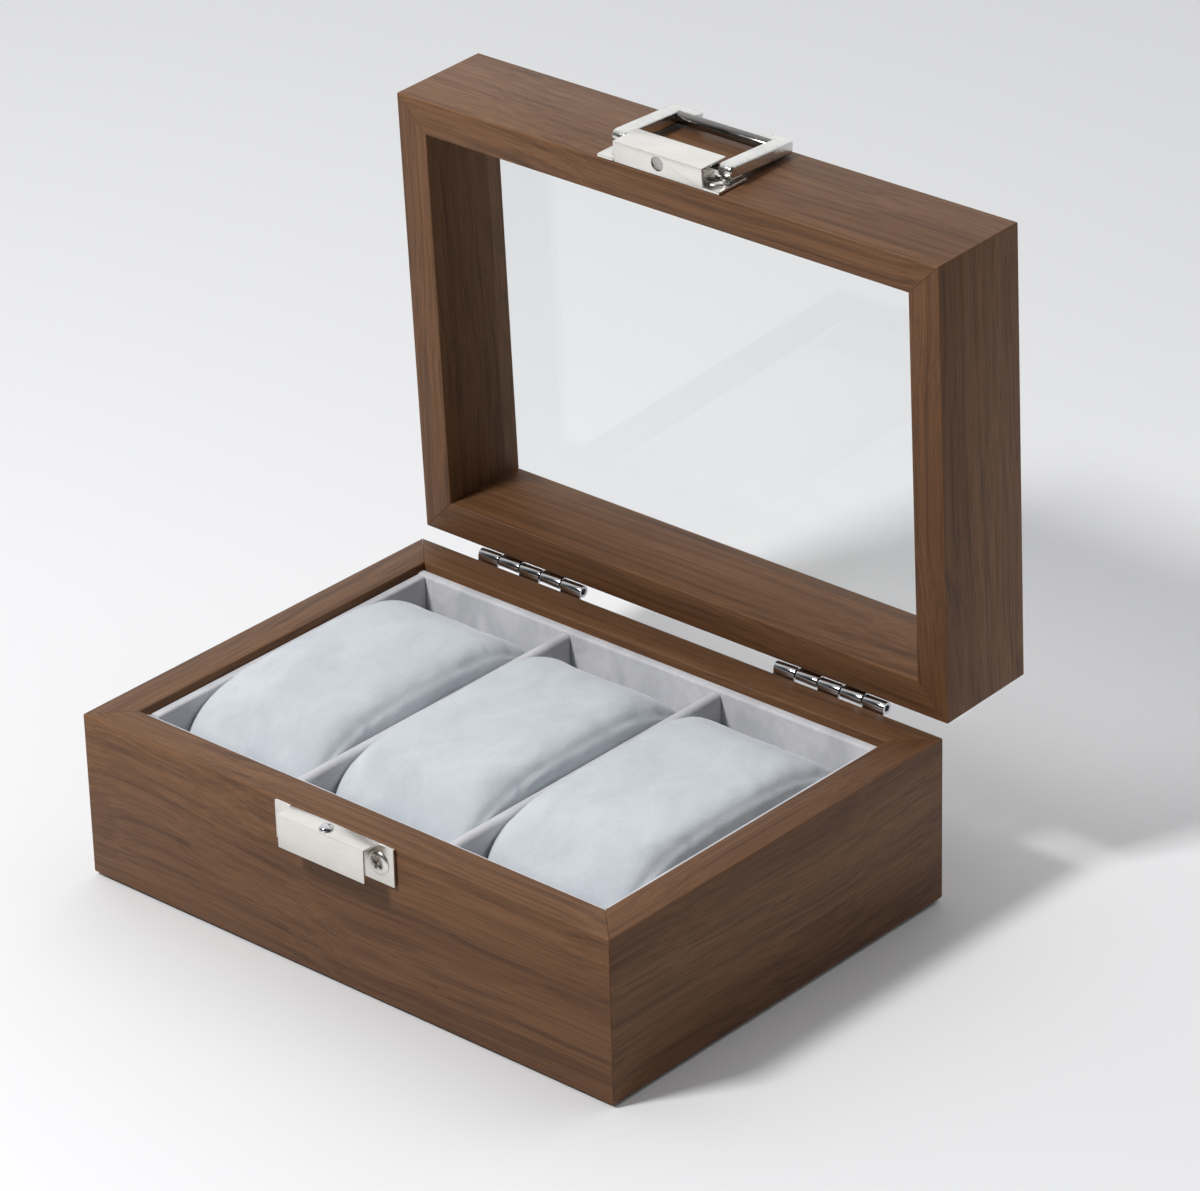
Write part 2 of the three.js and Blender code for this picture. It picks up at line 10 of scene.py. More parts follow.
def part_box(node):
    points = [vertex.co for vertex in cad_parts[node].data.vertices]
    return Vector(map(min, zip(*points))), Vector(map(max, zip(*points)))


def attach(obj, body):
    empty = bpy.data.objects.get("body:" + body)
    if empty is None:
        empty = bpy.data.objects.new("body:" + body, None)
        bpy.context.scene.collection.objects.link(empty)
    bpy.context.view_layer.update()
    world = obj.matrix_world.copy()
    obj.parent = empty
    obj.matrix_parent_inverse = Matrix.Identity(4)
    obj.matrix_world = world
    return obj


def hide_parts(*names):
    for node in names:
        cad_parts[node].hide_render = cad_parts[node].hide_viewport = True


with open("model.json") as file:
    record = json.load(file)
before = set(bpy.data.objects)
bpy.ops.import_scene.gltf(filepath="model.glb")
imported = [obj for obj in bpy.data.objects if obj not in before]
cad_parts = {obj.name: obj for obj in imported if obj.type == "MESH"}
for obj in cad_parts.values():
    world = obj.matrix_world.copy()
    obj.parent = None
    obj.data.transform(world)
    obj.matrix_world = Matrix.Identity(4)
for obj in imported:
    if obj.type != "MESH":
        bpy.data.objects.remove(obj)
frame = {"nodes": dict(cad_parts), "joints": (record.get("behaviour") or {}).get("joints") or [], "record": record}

bl_info = {
    "name": "Watch box",
    "version": (1, 0, 0),
    "blender": (4, 5, 0),
    "location": "3D View > Sidebar > Watch Box",
    "description": "Builds the looks of a veneered three-place watch box round its CAD frame",
    "category": "Object",
}

MM = 0.001
# Points closer than TOUCH count as level, and points closer than WELD are made one.
TOUCH = 1e-6
WELD = 1e-7
X, Y, Z = range(3)
HANDS = (("left", -1), ("right", 1))


# ---------------------------------------------------------------- where things are


def joint(name):
    """The packed joint of that name."""
    return next(j for j in frame["joints"] if j["name"] == name)


def turn_about(point, degrees):
    """A turn about an axis along X through a point."""
    return (
        Matrix.Translation(point)
        @ Matrix.Rotation(math.radians(degrees), 4, "X")
        @ Matrix.Translation(-Vector(point))
    )


# Pieces of the lid and of the bail are made square to the axes, as the lid lies when it is shut and
# the bail stands straight up from it, and are then turned to where they are at rest.
BASE_PLACE = Matrix.Identity(4)
LID_HINGE = joint("lid_hinge")
LID_PLACE = turn_about(Vector(LID_HINGE["pos_m"]), -LID_HINGE["range_deg"][1])
BAIL_PIVOT = joint("bail_pivot")
PIVOT_SHUT = LID_PLACE.inverted() @ Vector(BAIL_PIVOT["pos_m"])
BAIL_PLACE = LID_PLACE @ turn_about(PIVOT_SHUT, 180 - BAIL_PIVOT["range_deg"][1])


def local_box(place, *nodes):
    """The lowest and highest corner of some CAD nodes, square to the axes of a place."""
    back = place.inverted()
    corners = [back @ v.co for n in nodes for v in frame["nodes"][n].data.vertices]
    low = Vector([min(c[k] for c in corners) for k in (X, Y, Z)])
    high = Vector([max(c[k] for c in corners) for k in (X, Y, Z)])
    return low, high


# ---------------------------------------------------------------- sizes and colours


def size(name, description, default):
    """A length that a user may change."""
    return FloatProperty(
        name=name, description=description, default=default, unit="LENGTH", min=0.0, precision=5
    )


def share(name, description, default, high=1.0):
    """A plain number that a user may change."""
    return FloatProperty(
        name=name, description=description, default=default, subtype="FACTOR", min=0.0, max=high
    )


def colour(name, description, default):
    """A colour that a user may change."""
    return FloatVectorProperty(
        name=name, description=description, default=default, subtype="COLOR", size=3, min=0, max=1
    )


class WoodSettings(bpy.types.PropertyGroup):
    """Sizes and colours of the veneered boards."""

    edge: size("Edge", "Radius that the outer edges are eased to", 0.45 * MM)
    inner_edge: size("Inner edge", "Radius of the edge inside the rim", 0.3 * MM)
    mitre: size("Mitre", "Width of the hairline at a mitred corner", 0.07 * MM)
    lid_wall: size("Lid wall", "Thickness of the lid's boards at the rim", 8.6 * MM)
    rebate_rim: size("Rebate rim", "Thickness left beside the glass", 5.7 * MM)
    ledge: size("Ledge", "Height of the lid's inner wall below the glass", 20 * MM)
    light: colour("Light wood", "Lightest streaks of the veneer", (0.210, 0.100, 0.044))
    middle: colour("Middle wood", "Ground colour of the veneer", (0.145, 0.065, 0.027))
    dark: colour("Dark wood", "Dark streaks of the veneer", (0.050, 0.022, 0.011))
    board: colour("Fibreboard", "Colour of the bottom panel", (0.30, 0.20, 0.115))


class LiningSettings(bpy.types.PropertyGroup):
    """Sizes and colours of the velvet, the pillows and the felt."""

    edge: size("Edge", "Radius of the velvet's edges", 0.7 * MM)
    nap: share("Nap", "How strongly the nap mottles the velvet", 0.75)
    velvet: colour("Lining velvet", "Colour of the lining and the dividers", (0.69, 0.685, 0.71))
    pillow: colour("Pillow velvet", "Colour of the pillows", (0.655, 0.69, 0.725))
    felt: colour("Felt", "Colour of the felt underneath", (0.028, 0.022, 0.019))
    pressure: share("Pressure", "Pressure of the stuffing while a pillow swells", 4.0, 30.0)
    gather: share("Gather", "How much the seams at a pillow's ends are gathered", 0.035)
    fullness: share("Fullness", "How squarely a pillow fills its ends", 14.0, 20.0)
    seam: size("Seam", "Depth of the seam round each end of a pillow", 0.5 * MM)
    felt_corner: size("Felt corner", "Corner radius of the felt", 3 * MM)


class MetalSettings(bpy.types.PropertyGroup):
    """Sizes and colours of the catch, the clasp, the bail and the hinges."""

    sheet: size("Sheet", "Thickness of the folded plates", 0.7 * MM)
    hood_width: size("Hood width", "Width of a plate's hood", 26.2 * MM)
    skirt: size("Skirt", "Height of a plate's skirt", 8.4 * MM)
    deburr: size("Deburred edge", "Radius of the sheets' edges", 0.11 * MM)
    leaf: size("Leaf", "Thickness of a hinge's leaves", 0.7 * MM)
    knuckle_gap: size("Knuckle gap", "Gap between two knuckles of a hinge", 0.4 * MM)
    arm_round: size("Arm rounding", "Radius of the bail's edges", 0.6 * MM)
    stub_depth: size("Stub depth", "Depth of the bail's two inward stubs", 2.9 * MM)
    nickel: colour("Nickel", "Colour of the satin nickel", (0.75, 0.725, 0.685))
    cast: colour("Cast nickel", "Colour of the bail's arms", (0.70, 0.69, 0.67))
    chrome: colour("Chrome", "Colour of the polished chrome", (0.62, 0.625, 0.64))
    steel: colour("Steel", "Colour of the bail's rod and the pins", (0.20, 0.192, 0.185))
    segments: IntProperty(
        name="Segments",
        description="Sides of round metal work",
        default=40,
        subtype="UNSIGNED",
        min=16,
        max=96,
    )


class GlassSettings(bpy.types.PropertyGroup):
    """The pane in the lid."""

    edge: size("Edge", "Width of the pane's ground edge", 0.2 * MM)
    tint: colour("Tint", "Colour of the glass", (0.985, 0.995, 0.992))


class StageSettings(bpy.types.PropertyGroup):
    """The floor, the lights and the camera."""

    floor: colour("Floor", "Colour of the floor", (0.84, 0.84, 0.85))
    floor_size: size("Floor size", "Length of the floor's sides", 9.0)
    key_power: FloatProperty(
        name="Key light", description="Power of the key light", default=9.8, unit="POWER", min=0
    )
    key_width: size("Key light width", "Length of the key light's sides", 0.18)
    key_distance: size("Key light distance", "How far off the key light stands", 1.15)
    sky: share("Bright sky", "Strength of the sky behind and to the left", 1.08, 10.0)
    shade: share("Dim sky", "Strength of the sky in front and to the right", 0.04, 10.0)
    lens: FloatProperty(
        name="Lens", description="Focal length", default=172.5, unit="CAMERA", min=10
    )


GROUPS = (
    ("watch_box_wood", WoodSettings),
    ("watch_box_lining", LiningSettings),
    ("watch_box_metal", MetalSettings),
    ("watch_box_glass", GlassSettings),
    ("watch_box_stage", StageSettings),
)


# ---------------------------------------------------------------- materials


def fill(tree, node, inputs):
    """Links or sets a node's inputs."""
    for key, value in inputs.items():
        if isinstance(value, bpy.types.NodeSocket):
            tree.links.new(value, node.inputs[key])
        else:
            node.inputs[key].default_value = value


def add_node(tree, kind, inputs=None, **values):
    """A node with its properties set and its inputs filled."""
    node = tree.nodes.new(kind)
    for key, value in values.items():
        setattr(node, key, value)
    fill(tree, node, inputs or {})
    return node


def start_material(name):
    """A new material, its node tree and its shader."""
    material = bpy.data.materials.new(name)
    material.use_nodes = True
    tree = material.node_tree
    return material, tree, tree.nodes["Principled BSDF"]


def rgba(colour_value, strength=1.0):
    """A colour with its alpha, brightened or darkened."""
    return (*[min(1.0, c * strength) for c in colour_value], 1.0)


def object_place(tree):
    """Where each point is, in the frame that all pieces share."""
    return add_node(tree, "ShaderNodeTexCoord").outputs["Object"]


def stretched_noise(tree, source, scale, detail=3.0, rough=0.5, distortion=0.0, shift=(0, 0, 0)):
    """Noise over coordinates that are scaled on each axis, so that it streaks along one."""
    mapping = add_node(
        tree, "ShaderNodeMapping", {"Vector": source, "Location": shift, "Scale": scale}
    )
    inputs = {
        "Vector": mapping.outputs["Vector"],
        "Scale": 1.0,
        "Detail": detail,
        "Roughness": rough,
        "Distortion": distortion,
    }
    return add_node(tree, "ShaderNodeTexNoise", inputs).outputs["Fac"]


def span(tree, value, low, high, to_low, to_high, **values):
    """A value mapped from one range to another, and held at its ends."""
    inputs = {
        "Value": value,
        "From Min": low,
        "From Max": high,
        "To Min": to_low,
        "To Max": to_high,
    }
    return add_node(tree, "ShaderNodeMapRange", inputs, **values).outputs["Result"]


def mix(tree, factor, first, second):
    """Two colours mixed by a factor."""
    inputs = {0: factor, 6: first, 7: second}
    return add_node(tree, "ShaderNodeMix", inputs, data_type="RGBA").outputs[2]


def lay_over(tree, ground, pattern, limits, tone):
    """A colour laid over a ground, as thickly as a pattern says between its limits."""
    return mix(tree, span(tree, pattern, *limits), ground, tone)


def two_tone(tree, pattern, tone, dim, bright):
    """A colour that a pattern dims and brightens."""
    return mix(tree, span(tree, pattern, 0.3, 0.7, 0, 1), rgba(tone, dim), rgba(tone, bright))


def arithmetic(tree, operation, first, second):
    """Two values added, subtracted or multiplied."""
    inputs = {0: first, 1: second}
    return add_node(tree, "ShaderNodeMath", inputs, operation=operation).outputs["Value"]


def bump(tree, shader, height, distance, strength):
    """Bump on a shader from a height, in metres at full strength."""
    inputs = {"Height": height, "Distance": distance, "Strength": strength}
    fill(tree, shader, {"Normal": add_node(tree, "ShaderNodeBump", inputs).outputs["Normal"]})


def veneer_material(wood):
    """Satin walnut veneer whose grain runs along each board's own first axis."""
    material, tree, shader = start_material("walnut_veneer")
    grain = add_node(tree, "ShaderNodeAttribute", attribute_name="grain").outputs["Vector"]
    worn = add_node(tree, "ShaderNodeAttribute", attribute_name="worn").outputs["Fac"]
    wander = stretched_noise(tree, grain, (9.0, 12.0, 12.0), detail=2.0)
    drift = span(tree, wander, 0.3, 0.7, -2.4 * MM, 2.4 * MM)
    aside = add_node(tree, "ShaderNodeCombineXYZ", {"Y": drift, "Z": drift}).outputs["Vector"]
    moved = add_node(
        tree, "ShaderNodeVectorMath", {0: grain, 1: aside}, operation="ADD"
    ).outputs["Vector"]
    broad = stretched_noise(tree, moved, (4.0, 75.0, 75.0), detail=2.0, rough=0.45)
    streak = stretched_noise(tree, moved, (7.0, 560.0, 560.0), detail=4.0, rough=0.62)
    fibre = stretched_noise(tree, moved, (22.0, 2100.0, 2100.0), rough=0.65)
    pores = stretched_noise(tree, moved, (120.0, 4200.0, 4200.0), detail=1.0, shift=(3, 5, 7))
    tone = lay_over(
        tree, rgba(wood.middle), broad, (0.36, 0.66, 0.0, 1.0), rgba(wood.light, 0.92)
    )
    tone = lay_over(tree, tone, streak, (0.49, 0.68, 0.0, 0.60), rgba(wood.dark))
    tone = lay_over(tree, tone, streak, (0.24, 0.44, 0.42, 0.0), rgba(wood.light, 1.1))
    tone = lay_over(tree, tone, fibre, (0.40, 0.66, 0.0, 0.46), rgba(wood.dark, 1.25))
    tone = lay_over(tree, tone, pores, (0.64, 0.74, 0.0, 0.38), rgba(wood.dark, 0.8))
    # The rounds of the eased outer corners are painted lighter. This is a painted highlight, and it varies with
    # the streaks.
    edge_highlight_share = arithmetic(tree, "MULTIPLY", worn, span(tree, streak, 0.3, 0.7, 0.05, 0.24))
    finished = {
        "Base Color": mix(tree, edge_highlight_share, tone, rgba(wood.light, 1.45)),
        "Roughness": span(tree, fibre, 0.25, 0.75, 0.40, 0.56),
        "Specular IOR Level": 0.22,
    }
    fill(tree, shader, finished)
    bump(tree, shader, arithmetic(tree, "SUBTRACT", fibre, pores), 0.06 * MM, 0.5)
    return material


def fibreboard_material(wood):
    """Bare fibreboard, speckled with short fibres."""
    material, tree, shader = start_material("bare_fibreboard")
    place = object_place(tree)
    clumps = stretched_noise(tree, place, (180.0, 180.0, 180.0), detail=4.0)
    fibre = stretched_noise(tree, place, (2200.0, 700.0, 2200.0), detail=2.0)
    ground = mix(tree, clumps, rgba(wood.board, 0.78), rgba(wood.board, 1.12))
    finished = {
        "Base Color": lay_over(
            tree, ground, fibre, (0.55, 0.75, 0.0, 0.6), rgba(wood.board, 0.5)
        ),
        "Roughness": span(tree, clumps, 0.3, 0.7, 0.8, 0.92),
    }
    fill(tree, shader, finished)
    bump(tree, shader, fibre, 0.05 * MM, 0.5)
    return material


def felt_material(lining):
    """Pressed wool felt."""
    material, tree, shader = start_material("pressed_felt")
    place = object_place(tree)
    hair = stretched_noise(
        tree, place, (1500.0, 1500.0, 900.0), detail=4.0, rough=0.7, distortion=1.5
    )
    patch = stretched_noise(tree, place, (70.0, 70.0, 70.0))
    tone = two_tone(tree, patch, lining.felt, 0.8, 1.5)
    finished = {
        "Base Color": lay_over(tree, tone, hair, (0.5, 0.8, 0, 0.8), rgba(lining.felt, 3.4)),
        "Roughness": span(tree, hair, 0.2, 0.8, 0.88, 1.0),
        "Sheen Weight": 0.5,
        "Sheen Roughness": 0.6,
    }
    fill(tree, shader, finished)
    bump(tree, shader, hair, 0.25 * MM, 0.6)
    return material


def velvet_material(name, tone, nap, cool):
    """Short velvet: brushed patches of nap, a fine pile and a soft sheen."""
    material, tree, shader = start_material(name)
    place = object_place(tree)
    patch = stretched_noise(tree, place, (75.0, 48.0, 75.0), rough=0.55, distortion=0.7)
    stroke = stretched_noise(tree, place, (420.0, 160.0, 420.0), rough=0.6)
    pile = stretched_noise(tree, place, (3400.0, 3400.0, 3400.0), detail=2.0, rough=0.7)
    shade = 1.0 - 0.22 * nap
    shaded = (tone[0] * shade * cool, tone[1] * shade, tone[2] * shade / cool, 1.0)
    laid = lay_over(
        tree, shaded, patch, (0.36, 0.64, 0.0, 1.0), rgba(tone, 1.0 + 0.09 * nap)
    )
    brushed = lay_over(tree, laid, stroke, (0.42, 0.72, 0.0, 0.34 * nap), rgba(tone, 0.74))
    finished = {
        "Base Color": lay_over(tree, brushed, pile, (0.35, 0.75, 0.0, 0.30), rgba(tone, 0.62)),
        "Roughness": span(tree, stroke, 0.3, 0.7, 0.82, 0.96),
        "Specular IOR Level": 0.2,
        "Sheen Weight": 0.45,
        "Sheen Roughness": 0.42,
        "Sheen Tint": (0.93, 0.95, 1.0, 1.0),
    }
    fill(tree, shader, finished)
    bump(tree, shader, arithmetic(tree, "ADD", pile, stroke), 0.16 * MM, 0.55)
    return material


def nickel_material(metal):
    """Satin nickel sheet, brushed along X."""
    material, tree, shader = start_material("satin_nickel")
    place = object_place(tree)
    brush = stretched_noise(tree, place, (90.0, 5200.0, 5200.0), detail=2.0, rough=0.6)
    cloud = stretched_noise(tree, place, (130.0, 130.0, 130.0))
    tone = two_tone(tree, cloud, metal.nickel, 0.95, 1.04)
    roughness = arithmetic(
        tree,
        "ADD",
        span(tree, brush, 0.3, 0.7, 0.25, 0.34),
        span(tree, cloud, 0.3, 0.7, -0.03, 0.03),
    )
    finished = {
        "Base Color": lay_over(
            tree, tone, brush, (0.45, 0.85, 0, 0.3), rgba(metal.nickel, 0.87)
        ),
        "Metallic": 1.0,
        "Roughness": roughness,
    }
    fill(tree, shader, finished)
    bump(tree, shader, brush, 0.012 * MM, 0.4)
    return material


def cast_nickel_material(metal):
    """Die-cast nickel with a lightly pebbled skin."""
    material, tree, shader = start_material("cast_nickel")
    place = object_place(tree)
    pebble = stretched_noise(tree, place, (900.0, 900.0, 900.0), detail=2.0, distortion=0.4)
    cloud = stretched_noise(tree, place, (240.0, 240.0, 240.0))
    tone = two_tone(tree, cloud, metal.cast, 0.9, 1.08)
    # The hollows between the pebbles are painted darker, as painted shade.
    finished = {
        "Base Color": lay_over(
            tree, tone, pebble, (0.25, 0.45, 0.35, 0.0), rgba(metal.cast, 0.6)
        ),
        "Metallic": 1.0,
        "Roughness": span(tree, cloud, 0.3, 0.7, 0.20, 0.32),
    }
    fill(tree, shader, finished)
    bump(tree, shader, pebble, 0.16 * MM, 0.5)
    return material


def polished_material(name, tone, low, high):
    """Polished metal with faint rubbing marks and smears."""
    material, tree, shader = start_material(name)
    place = object_place(tree)
    smear = stretched_noise(tree, place, (160.0, 420.0, 420.0), detail=4.0, rough=0.6)
    rub = stretched_noise(tree, place, (260.0, 4200.0, 4200.0), detail=2.0)
    finished = {
        "Base Color": two_tone(tree, smear, tone, 0.86, 1.06),
        "Metallic": 1.0,
        "Roughness": span(tree, smear, 0.35, 0.7, low, high),
    }
    fill(tree, shader, finished)
    bump(tree, shader, rub, 0.006 * MM, 0.35)
    return material


def glass_material(glass):
    """Clear float glass with faint smears."""
    material, tree, shader = start_material("clear_glass")
    place = object_place(tree)
    smear = stretched_noise(tree, place, (30.0, 30.0, 30.0), detail=5.0, rough=0.65)
    finished = {
        "Base Color": two_tone(tree, smear, glass.tint, 1.0, 0.992),
        "Roughness": span(tree, smear, 0.45, 0.8, 0.0, 0.05),
        "IOR": 1.3,
        "Transmission Weight": 1.0,
    }
    fill(tree, shader, finished)
    return material


def painted_floor_material(stage):
    """Matt painted board, hardly mottled."""
    material, tree, shader = start_material("pale_floor")
    place = object_place(tree)
    cloud = stretched_noise(tree, place, (6.0, 6.0, 6.0), detail=2.0)
    finished = {
        "Base Color": mix(tree, cloud, rgba(stage.floor, 0.992), rgba(stage.floor, 1.006)),
        "Roughness": span(tree, cloud, 0.3, 0.7, 0.85, 0.9),
        "Specular IOR Level": 0.15,
    }
    fill(tree, shader, finished)
    return material


MADE = {}
# The pillows' velvet is less mottled than the lining's.
PILLOW_NAP = 0.6


def finish(key):
    """The material of that key, made once."""
    scene = bpy.context.scene
    wood, lining, metal = scene.watch_box_wood, scene.watch_box_lining, scene.watch_box_metal
    makers = {
        "veneer": lambda: veneer_material(wood),
        "fibreboard": lambda: fibreboard_material(wood),
        "felt": lambda: felt_material(lining),
        "velvet": lambda: velvet_material("lining_velvet", lining.velvet, lining.nap, 0.99),
        "pillow_velvet": lambda: velvet_material(
            "pillow_velvet", lining.pillow, PILLOW_NAP * lining.nap, 0.985
        ),
        "nickel": lambda: nickel_material(metal),
        "cast": lambda: cast_nickel_material(metal),
        "chrome": lambda: polished_material("polished_chrome", metal.chrome, 0.06, 0.16),
        "steel": lambda: polished_material("dark_steel", metal.steel, 0.12, 0.22),
        "glass": lambda: glass_material(scene.watch_box_glass),
        "floor": lambda: painted_floor_material(scene.watch_box_stage),
    }
    if key not in MADE:
        MADE[key] = makers[key]()
    return MADE[key]


# ---------------------------------------------------------------- shaping


def block(low, high):
    """A bmesh box between two corners."""
    bm = bmesh.new()
    bmesh.ops.create_cube(bm, size=1.0)
    spread = Vector(high) - Vector(low)
    bmesh.ops.scale(bm, vec=spread, verts=bm.verts)
    bmesh.ops.translate(bm, vec=(Vector(low) + Vector(high)) / 2, verts=bm.verts)
    return bm


def rod(radius, start, end, y, z, segments):
    """A bmesh cylinder along X."""
    bm = bmesh.new()
    bmesh.ops.create_cone(
        bm, cap_ends=True, segments=segments, radius1=radius, radius2=radius, depth=end - start
    )
    turn = Matrix.Rotation(math.pi / 2, 4, "Y")
    bmesh.ops.transform(bm, matrix=turn, verts=bm.verts)
    bmesh.ops.translate(bm, vec=((start + end) / 2, y, z), verts=bm.verts)
    return bm


def ease(bm, geom, radius, segments, affect="EDGES"):
    """Rounds edges or corners over."""
    bmesh.ops.bevel(
        bm,
        geom=list(geom),
        offset=radius,
        offset_type="OFFSET",
        segments=segments,
        profile=0.5,
        affect=affect,
        clamp_overlap=True,
        material=-1,
    )


def edges_where(bm, test):
    """The edges whose two ends both pass a test."""
    return [e for e in bm.edges if test(e.verts[0].co) and test(e.verts[1].co)]


def sharp_edges(bm, degrees=30.0):
    """The edges where two faces meet at more than an angle."""
    limit = math.radians(degrees)
    return [e for e in bm.edges if len(e.link_faces) == 2 and e.calc_face_angle(0.0) > limit]


def runs(edge, axis):
    """Whether an edge has any length along an axis."""
    return abs(edge.verts[0].co[axis] - edge.verts[1].co[axis]) > TOUCH


def slice_at(bm, point, normal, clear_outer=False):
    """Cuts a bmesh along a plane, and may take off what is in front of it."""
    bmesh.ops.bisect_plane(
        bm,
        geom=list(bm.verts) + list(bm.edges) + list(bm.faces),
        dist=WELD,
        plane_co=point,
        plane_no=normal,
        clear_outer=clear_outer,
    )


def push_face(bm, face, vec):
    """Pushes a face along, walls the step behind it and gives the moved face."""
    moved = bmesh.ops.extrude_face_region(bm, geom=[face])["geom"]
    verts = [v for v in moved if isinstance(v, bmesh.types.BMVert)]
    bmesh.ops.translate(bm, vec=vec, verts=verts)
    if face.is_valid:
        bmesh.ops.delete(bm, geom=[face], context="FACES_ONLY")
    return next(f for f in moved if isinstance(f, bmesh.types.BMFace))


def add_object(name, bm, place=BASE_PLACE, recalculate=True):
    """An object made from a bmesh that was drawn square to a place's axes."""
    if recalculate:
        bmesh.ops.recalc_face_normals(bm, faces=bm.faces)
    bmesh.ops.transform(bm, matrix=place, verts=bm.verts)
    mesh = bpy.data.meshes.new(name)
    bm.to_mesh(mesh)
    bm.free()
    made = bpy.data.objects.new(name, mesh)
    bpy.context.scene.collection.objects.link(made)
    return made


def bake_modifiers(obj):
    """Makes an object's mesh what its modifiers show, and takes them off."""
    bpy.context.view_layer.update()
    shown = obj.evaluated_get(bpy.context.evaluated_depsgraph_get())
    mesh = bpy.data.meshes.new_from_object(shown)
    old = obj.data
    obj.modifiers.clear()
    obj.data = mesh
    mesh.name = obj.name
    bpy.data.meshes.remove(old)


def cut(obj, *cutters):
    """Cuts closed bmeshes out of an object."""
    tools = []
    for bm in cutters:
        tool = add_object("cutter", bm)
        modifier = obj.modifiers.new("Cut", "BOOLEAN")
        modifier.operation = "DIFFERENCE"
        modifier.solver = "EXACT"
        modifier.object = tool
        tools.append(tool)
    bake_modifiers(obj)
    for tool in tools:
        mesh = tool.data
        bpy.data.objects.remove(tool)
        bpy.data.meshes.remove(mesh)


def complete(obj, body, key, replaced, smooth=32.0):
    """Shades, paints and places a finished piece, and says what it rides on and stands for."""
    mesh = obj.data
    mesh.materials.clear()
    mesh.materials.append(finish(key))
    mesh.shade_smooth()
    mesh.set_sharp_from_angle(angle=math.radians(smooth))
    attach(obj, body)
    if replaced:
        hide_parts(*replaced)


# ---------------------------------------------------------------- boards

# Each side's way out of the box and its way along the board.
SIDES = {
    "front": (Vector((0, -1, 0)), Vector((1, 0, 0))),
    "right": (Vector((1, 0, 0)), Vector((0, 1, 0))),
    "back": (Vector((0, 1, 0)), Vector((-1, 0, 0))),
    "left": (Vector((-1, 0, 0)), Vector((0, -1, 0))),
}
# How far the veneer's pattern moves on from one board to the next.
GRAIN_SHIFT = Vector((0.37, 0.21, 0.13))


def inset_face(bm, upward, thickness):
    """Insets the face that looks up or down and gives the face left in its middle."""
    face = max(bm.faces, key=lambda f: f.normal.z * upward)
    bmesh.ops.inset_region(bm, faces=[face], thickness=thickness, use_even_offset=True)
    return face


def open_through(bm, first, second):
    """Takes two facing faces out and walls the hole between them."""
    loops = list(first.edges) + list(second.edges)
    bmesh.ops.delete(bm, geom=[first, second], context="FACES_ONLY")
    bmesh.ops.bridge_loops(bm, edges=loops)


def ease_frame(bm, low, high, rim, wood):
    """Eases a frame's outer edges and the inner edge of its rim."""

    def outer(point):
        return (
            abs(abs(point.x) - high.x) < TOUCH
            and abs(abs(point.y) - high.y) < TOUCH
            and min(abs(point.z - low.z), abs(point.z - high.z)) < TOUCH
        )

    def inner(point):
        return (
            abs(point.x) < rim.x + TOUCH
            and abs(point.y) < rim.y + TOUCH
            and abs(point.z - rim.z) < TOUCH
        )

    inside = edges_where(bm, inner)
    ease(bm, edges_where(bm, outer), wood.edge, 4)
    ease(bm, [e for e in inside if e.is_valid], wood.inner_edge, 3)


def mark_edge_highlight(bm, low, high):
    """Notes whether each vertex is on the round of an eased outer corner, which gets a painted highlight."""
    layer = bm.verts.layers.float.new("worn")
    for vert in bm.verts:
        near = [
            abs(abs(vert.co.x) - high.x) > TOUCH,
            abs(abs(vert.co.y) - high.y) > TOUCH,
            min(abs(vert.co.z - low.z), abs(vert.co.z - high.z)) > TOUCH,
        ]
        flat = any(max(abs(c) for c in f.normal) > 0.9999 for f in vert.link_faces)
        vert[layer] = 0.0 if flat or not all(near) else 1.0


def mitred_side(ring, side, high, gap):
    """The part of a frame between the mitres at the two ends of one side."""
    bm = ring.copy()
    outward, along = SIDES[side]
    half = Vector((high.x, high.y, 0))
    reach = abs(outward.dot(half))
    length = abs(along.dot(half))
    for sign in (-1, 1):
        corner = outward * reach + along * (sign * length)
        normal = (-outward + along * sign).normalized()
        slice_at(bm, corner - normal * (gap / 2), normal, clear_outer=True)
    bmesh.ops.holes_fill(bm, edges=[e for e in bm.edges if e.is_boundary], sides=0)
    layer = bm.verts.layers.float_vector.new("grain")
    shift = GRAIN_SHIFT * (1 + list(SIDES).index(side))
    for vert in bm.verts:
        place = (vert.co.dot(along), vert.co.dot(outward) - reach, vert.co.z)
        vert[layer] = Vector(place) + shift
    return bm


def add_boards(body, place, ring, high, wood):
    """Cuts a frame into its four boards."""
    for side in SIDES:
        bm = mitred_side(ring, side, high, wood.mitre)
        board = add_object(f"{body}_{side}_veneer", bm, place)
        complete(board, body, "veneer", [f"{body}_{side}_board"])
    ring.free()


def build_base_boards(wood):
    """The base's four boards, mitred at the corners."""
    low, high = local_box(BASE_PLACE, *[f"base_{side}_board" for side in SIDES])
    front_low, front_high = local_box(BASE_PLACE, "base_front_board")
    wall = front_high.y - front_low.y
    ring = block(low, high)
    top = inset_face(ring, 1, wall)
    bottom = inset_face(ring, -1, wall)
    open_through(ring, top, bottom)
    ease_frame(ring, low, high, Vector((high.x - wall, high.y - wall, high.z)), wood)
    mark_edge_highlight(ring, low, high)
    add_boards("base", BASE_PLACE, ring, high, wood)


def build_lid_boards(wood):
    """The lid's four boards, rebated for the glass."""
    low, high = local_box(LID_PLACE, *[f"lid_{side}_board" for side in SIDES])
    ring = block(low, high)
    top = inset_face(ring, 1, wood.rebate_rim)
    bottom = inset_face(ring, -1, wood.lid_wall)
    top = push_face(ring, top, (0, 0, wood.ledge - (high.z - low.z)))
    bottom = push_face(ring, bottom, (0, 0, wood.ledge))
    open_through(ring, top, bottom)
    rim = Vector((high.x - wood.lid_wall, high.y - wood.lid_wall, low.z))
    ease_frame(ring, low, high, rim, wood)
    mark_edge_highlight(ring, low, high)
    add_boards("lid", LID_PLACE, ring, high, wood)


# ---------------------------------------------------------------- glass, felt and panel


